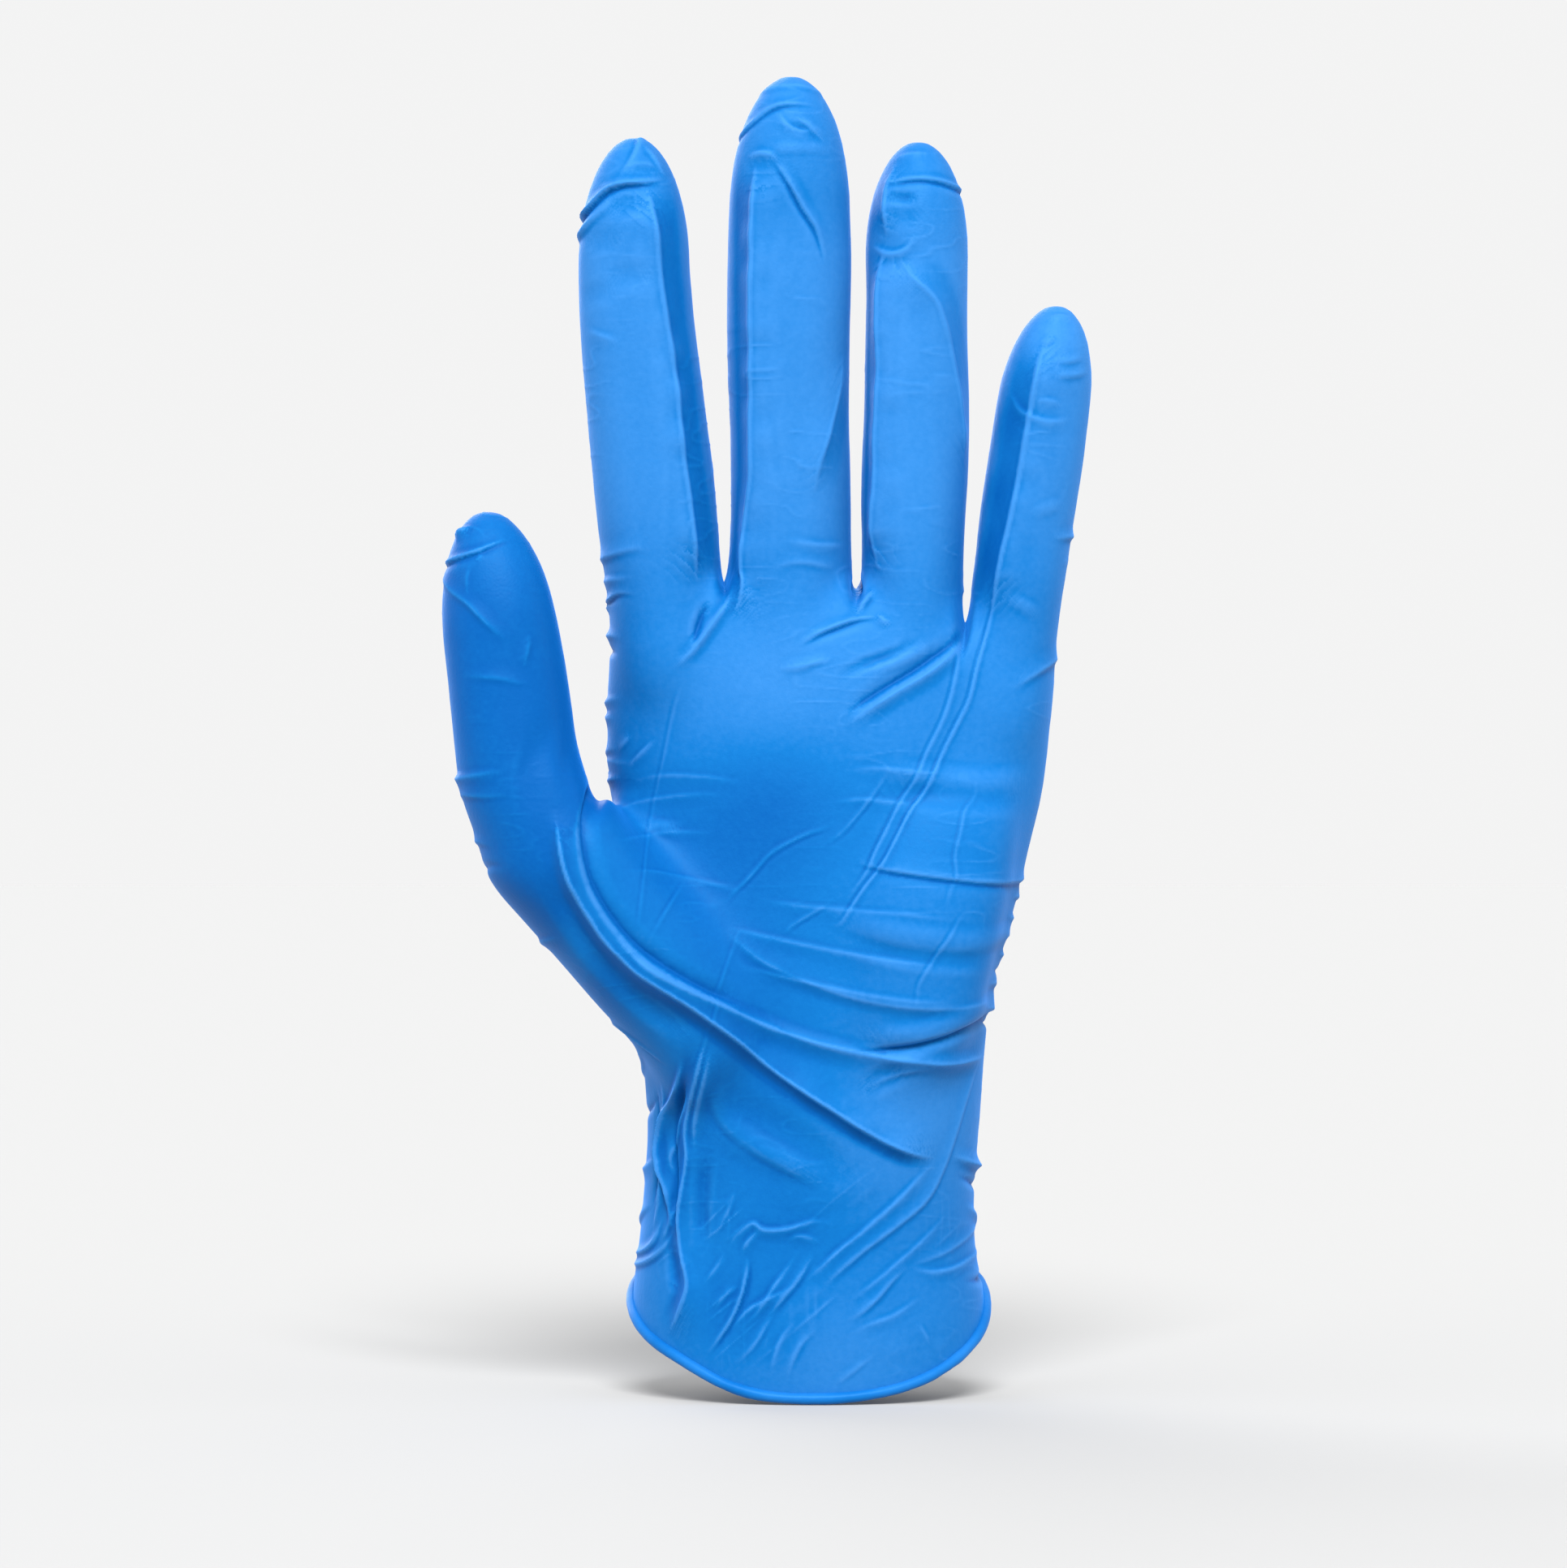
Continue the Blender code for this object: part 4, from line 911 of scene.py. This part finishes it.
def piece_of(centres):
    """The name of the piece that each face belongs to: a digit is parted halfway between its hinges."""
    names = np.full(len(centres), "palm_skin", dtype="U24")
    names[centres[:, 2] < WRIST_TOP] = "cuff_skin"
    column = digit_of(centres)
    for digit, joints in DIGITS.items():
        axis = digit_axis(digit)
        here = (column == digit) & (centres[:, 2] > CROTCH[digit])
        names[here] = joints[0] + "_skin"
        for before, after in zip(joints, joints[1:]):
            cut = (pivot(before) + pivot(after)) / 2
            beyond = here & ((centres - cut) @ axis > 0)
            names[beyond] = after + "_skin"
    return names


# The heights, mm, where each fingertip's pebbled texture starts and is full
PEBBLED = {
    "index_end_joint_skin": (186, 194),
    "middle_end_joint_skin": (196, 204),
    "ring_end_joint_skin": (186, 194),
    "little_end_joint_skin": (160, 166),
    "thumb_joint_skin": (122, 130),
}
NOT_PEBBLED = (400, 410)


def mesh_of(name, points, quads, triangles):
    """A smooth-shaded mesh of the four-sided and then the three-sided faces."""
    data = bpy.data.meshes.new(name)
    loops = np.concatenate([quads.ravel(), triangles.ravel()])
    starts = np.concatenate([
        np.arange(len(quads)) * 4,
        len(quads) * 4 + np.arange(len(triangles)) * 3,
    ])
    data.vertices.add(len(points))
    data.vertices.foreach_set("co", points.ravel())
    data.loops.add(len(loops))
    data.loops.foreach_set("vertex_index", loops)
    data.polygons.add(len(starts))
    data.polygons.foreach_set("loop_start", starts)
    data.update(calc_edges=True)
    data.shade_smooth()
    return data


def add_values(data, name, values):
    """Stores one number per point on a mesh, for its material."""
    attribute = data.attributes.new(name, "FLOAT", "POINT")
    attribute.data.foreach_set("value", values)


def flat_normals(corners):
    """The normals of triangles from their corner points, and zero where one has no area."""
    flat = np.cross(corners[:, 1] - corners[:, 0], corners[:, 2] - corners[:, 0])
    size = np.linalg.norm(flat, axis=1, keepdims=True)
    return flat / np.where(size > 0, size, 1)


def make_piece(name, shape, own, material):
    """One piece of the film as a closed thin shell with the whole film's normals."""
    coarse = shape["faces"][own]
    fine = shape["fine_faces"].reshape(-1, 4, 4)[own].reshape(-1, 4)
    outer_used = np.unique(fine)
    inner_used = np.unique(coarse)
    outer = numbered(outer_used, len(shape["points"]), 0)
    inner = numbered(inner_used, len(shape["inner"]), len(outer_used))
    quads = np.concatenate([outer[fine], inner[coarse[:, ::-1]]])
    edge = boundary_edges(coarse)
    middle = outer[shape["edge_index"](np.sort(edge, axis=1))]
    start, end = outer[edge].T
    inner_start, inner_end = inner[edge].T
    closing = np.concatenate([
        np.stack([middle, start, inner_start], axis=1),
        np.stack([middle, inner_start, inner_end], axis=1),
        np.stack([end, middle, inner_end], axis=1),
    ])
    points = np.concatenate([shape["points"][outer_used], shape["inner"][inner_used]]) * MM
    data = mesh_of(name, points, quads, closing)
    add_values(data, "tone_and_painted_shading", np.concatenate([shape["tone_and_painted_shading"][outer_used], shape["tone_and_painted_shading"][inner_used]]))
    normals = np.concatenate([shape["normals"][outer_used], -shape["inner_normals"][inner_used]])
    closing_normals = np.repeat(flat_normals(points[closing]), 3, axis=0)
    data.normals_split_custom_set(np.concatenate([normals[quads].reshape(-1, 3), closing_normals]))
    add_values(data, "pebble", smoothstep(points[:, 2] / MM, *PEBBLED.get(name, NOT_PEBBLED)))
    data.materials.append(material)
    obj = bpy.data.objects.new(name, data)
    bpy.context.scene.collection.objects.link(obj)
    return obj


def edge_finder(unique, first):
    """A function from coarse edges to the fine points on them."""
    key = unique[:, 0].astype(np.int64) * (unique.max() + 1) + unique[:, 1]
    order = np.argsort(key)

    def find(edges):
        wanted = edges[:, 0].astype(np.int64) * (unique.max() + 1) + edges[:, 1]
        return order[np.searchsorted(key[order], wanted)] + first

    return find


def melted(edges, points, strength, rounds):
    """Moves the points towards their neighbours' mean, by a strength of their own."""
    for _ in range(rounds):
        points = points + 0.5 * strength[:, None] * (spread(edges, points) - points)
    return points


# The rounds of softening over the palm, and over an ellipse on the thumb's side of the heel
PALM_ROUNDS = 90
THENAR_ROUNDS = 260
THENAR_X, THENAR_Z = -20, 72
THENAR_HALF_WIDTH, THENAR_HALF_HEIGHT = 22, 26


def soften(points, faces):
    """Melts the lofts together over the palm, and more so over the thumb's side of its heel."""
    edges = unique_edges(faces)
    z = points[:, 2]
    strength = smoothstep(z, 134, 120) * smoothstep(z, 12, 30) * smoothstep(points[:, 0], -54, -40)
    points = melted(edges, points, strength, PALM_ROUNDS)
    across = (points[:, 0] - THENAR_X) / THENAR_HALF_WIDTH
    away = np.hypot(across, (z - THENAR_Z) / THENAR_HALF_HEIGHT)
    strength = (1 - smoothstep(away, 0.6, 1.1)) * (1 - smoothstep(points[:, 1], -8, 0))
    return melted(edges, points, strength, THENAR_ROUNDS)


# Painted light and shade: patches where the film is painted paler or deeper to stand in for light and
# shade on the palm, the thumb web, the flanks and the cuff: x, z, radius, mm, and how much
PAINTED_LIGHT_AND_SHADE = [
    (-6.0, 110.0, 15.0, 0.30),
    (-20.0, 78.0, 16.0, -0.35),
    (-6.0, 91.0, 14.0, -0.50),
    (-12.0, 58.0, 12.0, -0.25),
    (-41.5, 93.0, 6.0, -1.0),
    (-45.0, 106.0, 6.0, -0.6),
    (-36.0, 58.0, 7.0, -0.4),
    (-40.0, 72.0, 12.0, -0.15),
    (-10.0, 38.0, 14.0, -0.35),
    (19.0, 34.0, 13.0, 0.35),
    (-13.0, 0.0, 8.0, -0.25),
    (-24.0, 24.0, 7.0, -0.25),
    (-3.0, 16.0, 11.0, -0.28),
    (26.0, 86.0, 10.0, -0.12),
    (-21.5, 192.0, 6.0, 0.20),
    (-20.0, 174.0, 6.0, 0.18),
    (33.5, 159.0, 5.0, -0.40),
    (32.5, 147.0, 5.0, -0.40),
    (31.0, 136.0, 5.0, -0.25),
    (7.0, -11.0, 14.0, 0.20),
]


# The heights of the cuff's crumples and of the fine wrinkles elsewhere
CRUMPLE_HEIGHT = 0.10
WRINKLE_HEIGHT = 0.09


def cuff_crumples(points):
    """Fine slanting and upright crumples where the slack cuff isn't stretched."""
    x, y, z = points.T
    slant = np.stack([x * 0.75 + z * 0.66, y, z * 0.75 - x * 0.66], axis=1)
    along = np.abs(noise(slant, (15.0, 15.0, 1.9), 331))
    upright = np.abs(noise(points, (2.2, 9.0, 17.0), 332))
    line = np.clip(1 - along / 0.35, 0, 1) ** 2 + 0.6 * np.clip(1 - upright / 0.3, 0, 1) ** 2
    patch = smoothstep(noise(points, (8.0, 8.0, 8.0), 333), 0.0, 0.6)
    low = (1 - smoothstep(z, 14, 30)) * smoothstep(z - rim_height(x, y), 1, 6)
    return CRUMPLE_HEIGHT * line * patch * low


def film_tone_and_painted_shading(points, relief, fine_relief, painted_shade):
    """How pale the film is painted, 0 to 1: the film's own mottle and stretch, with painted light and
    shade over them: painted highlights on crests, painted shade in hollows, on the thumb, on the facets'
    flanks and in listed patches.
    """
    x, z = points[:, 0], points[:, 2]
    # the fingers are paler than the palm, partly for their stretched film and partly as painted light,
    # and their tips deeper again
    tone_and_painted_shading = 0.60 + 0.30 * smoothstep(z, 122, 150) - 0.2 * smoothstep(z, 186, 200)
    for centre_x, centre_z, radius, more in PAINTED_LIGHT_AND_SHADE:
        away = ((x - centre_x) ** 2 + (z - centre_z) ** 2) / radius**2
        tone_and_painted_shading += more * np.exp(-away)
    # painted shade: the thumb, which turns away from the light, is painted deeper all over
    tone_and_painted_shading -= 0.55 * (1 - smoothstep(x, -46, -40)) * smoothstep(z, 55, 75)
    # a slow mottle of the film's own, and then painted highlights on the crests and painted shade in the
    # hollows
    tone_and_painted_shading += 0.10 * noise(points, (17.0, 17.0, 22.0), 321)
    tone_and_painted_shading += 0.5 * np.clip(relief / 0.45, -1, 1) + 0.45 * np.clip(fine_relief / 0.09, -1, 1)
    # painted shade on the facets' narrow flanks
    return np.clip(np.minimum(tone_and_painted_shading, 1.0) + painted_shade, 0, 1)


# The slots between neighbouring digits: middle, height, how far they are drawn down, lean and width
SLOTS = [
    (-38.6, 97.0, 4.0, 0.0, 2.2),
    (-15.9, 139.0, 7.0, -0.04, 1.1),
    (8.0, 136.5, 5.0, 0.02, 1.1),
    (27.5, 127.5, 6.0, 0.10, 1.1),
]


def open_slots(points):
    """Draws the webs down between the digits, which stand almost against each other."""
    points = points.copy()
    for x, top, drop, lean, width in SLOTS:
        across = (points[:, 0] - x - lean * (points[:, 2] - top)) / width
        share = np.exp(-(across**2)) * smoothstep(points[:, 2], top - 15, top + 1)
        points[:, 2] -= drop * share * (1 - smoothstep(points[:, 2], top + 8, top + 20))
    return points


def stretch_wrinkles(points):
    """Fine broken lines across the fingers and the palm, where the film is stretched lengthwise."""
    line = 1 - np.abs(noise(points, (9.0, 9.0, 2.2), 311))
    line = np.clip((line - 0.8) / 0.2, 0, 1) ** 2
    patch = smoothstep(noise(points, (10.0, 10.0, 12.0), 312), -0.1, 0.6)
    strength = smoothstep(points[:, 2], 100, 135) * (1 - smoothstep(points[:, 2], 186, 196))
    return WRINKLE_HEIGHT * line * patch * (0.5 + 0.5 * strength)


# The rounds that blur the relief for the tone's painted highlights and painted shade: a wide hollow and a
# narrow one
WIDE_HOLLOW = 14
NARROW_HOLLOW = 3
# The noise seed of the first fold on the back
BACK_SEED = 200
# The rounds that even out the fine points, and how much of a raised point's place stays its own
EVENING_ROUNDS = 3
OWN_SHARE = 0.88


def relief_of(points, faces):
    """How far the folds and crumples raise each point, mm, and the painted shade on the facets' narrow
    flanks.
    """
    surface = Surface(points, faces)
    raised = np.zeros(len(points))
    painted_shade = np.zeros(len(points))
    for seed, fold in enumerate(FOLDS):
        add_fold(surface, points, raised, painted_shade, fold, seed)
    for seed, fold in enumerate(BACK_FOLDS):
        add_fold(surface, points, raised, painted_shade, fold, BACK_SEED + seed, from_back=True)
    # slow swells, small ripples, and then the finest wrinkles
    raised += 0.22 * noise(points, (13.0, 13.0, 16.0), 301)
    raised += 0.03 * noise(points, (5.0, 5.0, 3.5), 302)
    raised += stretch_wrinkles(points) + cuff_crumples(points)
    return raised, painted_shade


def film_shape():
    """The whole film: fine outer points, and coarse inner points below them."""
    points, faces = hand_form()
    points = open_slots(soften(points, faces))
    points, faces = open_mouth(points, faces)
    coarse_count = len(points)
    smooth, fine_faces, unique = divided(points, faces)
    edges = unique_edges(fine_faces)
    fixed = np.unique(boundary_edges(fine_faces))
    for _ in range(EVENING_ROUNDS):
        moved = smooth * 0.5 + spread(edges, smooth) * 0.5
        moved[fixed] = smooth[fixed]
        smooth = moved
    normals = normals_of(smooth, fine_faces)
    raised, painted_shade = relief_of(smooth, fine_faces)
    shaped = smooth + normals * raised[:, None]
    shaped = shaped * OWN_SHARE + spread(edges, shaped) * (1 - OWN_SHARE)
    relief = raised - blurred(edges, raised, WIDE_HOLLOW)
    fine_relief = raised - blurred(edges, raised, NARROW_HOLLOW)
    depth = (raised - lowest_near(edges, raised, 2))[:coarse_count] + FILM_THICKNESS
    inner = shaped[:coarse_count] - normals[:coarse_count] * depth[:, None]
    return {
        "faces": faces,
        "fine_faces": fine_faces,
        "points": shaped,
        "normals": normals_of(shaped, fine_faces),
        "inner": inner,
        "inner_normals": normals_of(inner, faces),
        "tone_and_painted_shading": film_tone_and_painted_shading(smooth, relief, fine_relief, painted_shade),
        "edge_index": edge_finder(unique, coarse_count),
    }


def rim_loop(points, faces):
    """The points of the mouth's edge, in order round it."""
    following = dict(boundary_edges(faces).tolist())
    first = min(following)
    loop = [first]
    while following[loop[-1]] != first:
        loop.append(following[loop[-1]])
    return points[loop]


def evened(loop, count):
    """A closed line with its points evenly spaced."""
    closed = np.concatenate([loop, loop[:1]])
    run = np.concatenate([[0], np.cumsum(np.linalg.norm(np.diff(closed, axis=0), axis=1))])
    at = np.linspace(0, run[-1], count, endpoint=False)
    return np.stack([np.interp(at, run, closed[:, k]) for k in range(3)], axis=1)


def make_bead(shape, material):
    """The rolled edge: a bead that follows the film's edge, a little uneven as it was rolled."""
    line = evened(rim_loop(shape["points"], shape["fine_faces"]), BEAD_POINTS)
    for _ in range(BEAD_SMOOTHING):
        line = (np.roll(line, 1, axis=0) + 2 * line + np.roll(line, -1, axis=0)) / 4
    along = np.roll(line, -1, axis=0) - np.roll(line, 1, axis=0)
    along /= np.linalg.norm(along, axis=1, keepdims=True)
    outward = line - line.mean(axis=0)
    outward -= np.sum(outward * along, axis=1, keepdims=True) * along
    outward /= np.linalg.norm(outward, axis=1, keepdims=True)
    upward = np.cross(along, outward)
    upward *= np.sign(upward[:, 2:])
    rings = []
    for k in range(BEAD_SIDES):
        turn = 2 * math.pi * k / BEAD_SIDES
        out, up = BEAD_OFFSET + BEAD_RADIUS * math.cos(turn), BEAD_RADIUS * math.sin(turn)
        rings.append(line + outward * out + upward * up)
    points = np.stack(rings, axis=1).reshape(-1, 3)
    centre = np.repeat(line + outward * BEAD_OFFSET, BEAD_SIDES, axis=0)
    uneven = 1 + 0.10 * noise(points, (4.0, 4.0, 4.0), 401) + 0.04 * noise(points, (1.6, 1.6, 1.6), 402)
    points = centre + (points - centre) * uneven[:, None]
    faces = []
    for i in range(BEAD_POINTS):
        here, after = i * BEAD_SIDES, (i + 1) % BEAD_POINTS * BEAD_SIDES
        for k in range(BEAD_SIDES):
            turned = (k + 1) % BEAD_SIDES
            faces.append((here + k, after + k, after + turned, here + turned))
    data = bpy.data.meshes.new("bead_roll")
    data.from_pydata((points * MM).tolist(), [], faces)
    mesh = bmesh.new()
    mesh.from_mesh(data)
    bmesh.ops.recalc_face_normals(mesh, faces=mesh.faces)
    mesh.to_mesh(data)
    mesh.free()
    data.shade_smooth()
    add_values(data, "tone_and_painted_shading", 0.5 + 0.3 * noise(points, (7.0, 7.0, 7.0), 403))
    data.materials.append(material)
    bead = bpy.data.objects.new("bead_roll", data)
    bpy.context.scene.collection.objects.link(bead)
    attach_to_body(bead, "cuff")
    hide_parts("rolled_bead")


# ---------------------------------------------------------------- materials

# How far the roughness wanders either way
ROUGHNESS_SPREAD = 0.06


def add_node(tree, kind, links=None, values=None):
    """A new shader node with its inputs linked to sockets and set to constants."""
    node = tree.nodes.new("ShaderNode" + kind)
    for name, socket in (links or {}).items():
        tree.links.new(socket, node.inputs[name])
    for name, value in (values or {}).items():
        node.inputs[name].default_value = value
    return node


def nitrile(name, deep, middle, pale, roughness):
    """Blue nitrile film: satin, running from deep to pale with the tone attribute, which on the film
    holds painted shade and painted highlights along with its own tone, and with a fine pebbled grain on
    the fingertips.
    """
    material = bpy.data.materials.new(name)
    material.use_nodes = True
    tree = material.node_tree
    shader = tree.nodes["Principled BSDF"]
    shader.inputs["Specular IOR Level"].default_value = 0.16
    shader.inputs["Specular Tint"].default_value = (0.25, 0.65, 1.0, 1.0)
    shader.inputs["Sheen Weight"].default_value = 0.35
    shader.inputs["Sheen Roughness"].default_value = 0.45
    shader.inputs["Sheen Tint"].default_value = (0.02, 0.30, 1.0, 1.0)
    place = add_node(tree, "TexCoord").outputs["Object"]
    mottle = add_node(tree, "TexNoise", {"Vector": place}, {"Scale": 900, "Detail": 3}).outputs["Fac"]
    # the tone attribute: on the film its own tone with painted light and shade, on the bead a random tone
    tone_and_painted_shading = add_node(tree, "Attribute")
    tone_and_painted_shading.attribute_name = "tone_and_painted_shading"
    lowered = add_node(tree, "Math", {0: tone_and_painted_shading.outputs["Fac"]}, {1: 0.125})
    lowered.operation = "SUBTRACT"
    speck = add_node(tree, "Math", {0: mottle, 2: lowered.outputs[0]}, {1: 0.25})
    speck.operation = "MULTIPLY_ADD"
    colour = add_node(tree, "ValToRGB", {"Fac": speck.outputs[0]})
    colour.color_ramp.elements[0].color = deep
    colour.color_ramp.elements[1].color = pale
    colour.color_ramp.elements.new(0.5).color = middle
    tree.links.new(colour.outputs["Color"], shader.inputs["Base Color"])
    gloss = add_node(tree, "MapRange", {"Value": mottle}, {
        "To Min": roughness - ROUGHNESS_SPREAD,
        "To Max": roughness + ROUGHNESS_SPREAD,
    })
    tree.links.new(gloss.outputs["Result"], shader.inputs["Roughness"])
    pebble = add_node(tree, "TexVoronoi", {"Vector": place}, {"Scale": 2100})
    pebble.feature = "SMOOTH_F1"
    grain = add_node(tree, "TexNoise", {"Vector": place}, {"Scale": 1500, "Detail": 2})
    texture = add_node(tree, "Attribute")
    texture.attribute_name = "pebble"
    height = add_node(tree, "Mix", {
        "Factor": texture.outputs["Fac"],
        "A": grain.outputs["Fac"],
        "B": pebble.outputs["Distance"],
    })
    bump = add_node(tree, "Bump", {"Height": height.outputs["Result"]}, {
        "Strength": 0.35,
        "Distance": 0.0001,
    })
    tree.links.new(bump.outputs["Normal"], shader.inputs["Normal"])
    return material


def main():
    # deep and pale are the ends of the ramp that the film's painted shade and painted highlights run
    # between
    film = nitrile(
        "nitrile_film",
        deep=(0.0, 0.060, 0.24, 1.0),
        middle=(0.002, 0.097, 0.31, 1.0),
        pale=(0.024, 0.142, 0.385, 1.0),
        roughness=0.5,
    )
    shape = film_shape()
    names = piece_of(shape["points"][shape["faces"]].mean(axis=1))
    made = {}
    for name in np.unique(names):
        made[str(name)] = make_piece(str(name), shape, names == name, film)
    attach(made)
    bead = nitrile(
        "nitrile_bead",
        deep=(0.0, 0.075, 0.27, 1.0),
        middle=(0.004, 0.100, 0.33, 1.0),
        pale=(0.012, 0.120, 0.37, 1.0),
        roughness=0.42,
    )
    make_bead(shape, bead)


def attach(made):
    """Joins the palm piece to its body, bakes the other pieces' places into their meshes, and hides the
    CAD parts that the pieces stand in for.
    """
    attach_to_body(made["palm_skin"], "palm")
    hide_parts("palm_sleeve")
    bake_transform(made["cuff_skin"])
    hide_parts("cuff_sleeve", "wrist_flex_film")
    for digit, joints in DIGITS.items():
        for place, name in enumerate(joints):
            joint = JOINTS[name]
            piece = made[name + "_skin"]
            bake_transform(piece)
            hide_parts(name + "_flex_film", joint["child"] + "_sleeve")


main()


# ---------------------------------------------------------------- stage

def make_stage():
    floor_mesh = bpy.data.meshes.new("floor")
    half = 6.0
    corners = [(-half, -half, 0), (half, -half, 0), (half, half, 0), (-half, half, 0)]
    floor_mesh.from_pydata(corners, [], [(0, 1, 2, 3)])
    floor = bpy.data.objects.new("floor", floor_mesh)
    floor.location.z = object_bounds()[0][2] - 0.0001
    bpy.context.scene.collection.objects.link(floor)
    material = bpy.data.materials.new("floor")
    material.use_nodes = True
    material.node_tree.nodes["Principled BSDF"].inputs["Base Color"].default_value = (0.35, 0.35, 0.35, 1)
    material.node_tree.nodes["Principled BSDF"].inputs["Roughness"].default_value = 0.9
    material.node_tree.nodes["Principled BSDF"].inputs["Specular IOR Level"].default_value = 0.0
    floor_mesh.materials.append(material)
    world = bpy.data.worlds.new("world")
    bpy.context.scene.world = world
    world.use_nodes = True
    world.node_tree.nodes["Background"].inputs["Color"].default_value = (1, 1, 1, 1)
    world.node_tree.nodes["Background"].inputs["Strength"].default_value = 0.9


# The lights: name, the side each shines from, its spread, degrees, and its power
SUNS = [
    ("key", (0.03, -1.0, 0.85), 24, 5.8),
    ("fill", (-1.0, -0.5, 0.3), 70, 1.2),
    ("side", (1.0, -0.5, 0.3), 70, 0.7),
    ("back", (-0.5, 1.0, 0.6), 50, 2.0),
]


def sun_light(name, source, spread_degrees, power):
    """A broad soft light from far away, towards the origin from source."""
    light = bpy.data.lights.new(name, "SUN")
    light.angle = math.radians(spread_degrees)
    light.energy = power
    obj = bpy.data.objects.new(name, light)
    obj.rotation_euler = (-Vector(source)).to_track_quat("-Z", "Y").to_euler()
    bpy.context.scene.collection.objects.link(obj)


# The camera's lens and sensor, mm, the width that it sees at its aim, and the aim, m
LENS = 150
SENSOR = 36
SEEN_WIDTH = 0.2825
AIM = (-0.00505, -0.016, 0.0942)


def make_camera():
    data = bpy.data.cameras.new("camera")
    data.lens = LENS
    data.sensor_width = SENSOR
    camera = bpy.data.objects.new("camera", data)
    distance = SEEN_WIDTH * LENS / SENSOR
    camera.location = (AIM[0], AIM[1] - distance, AIM[2])
    camera.rotation_euler = (math.pi / 2, 0, 0)
    bpy.context.scene.collection.objects.link(camera)
    bpy.context.scene.camera = camera


bpy.context.scene.view_settings.view_transform = "Standard"
make_stage()
for sun in SUNS:
    sun_light(*sun)
make_camera()
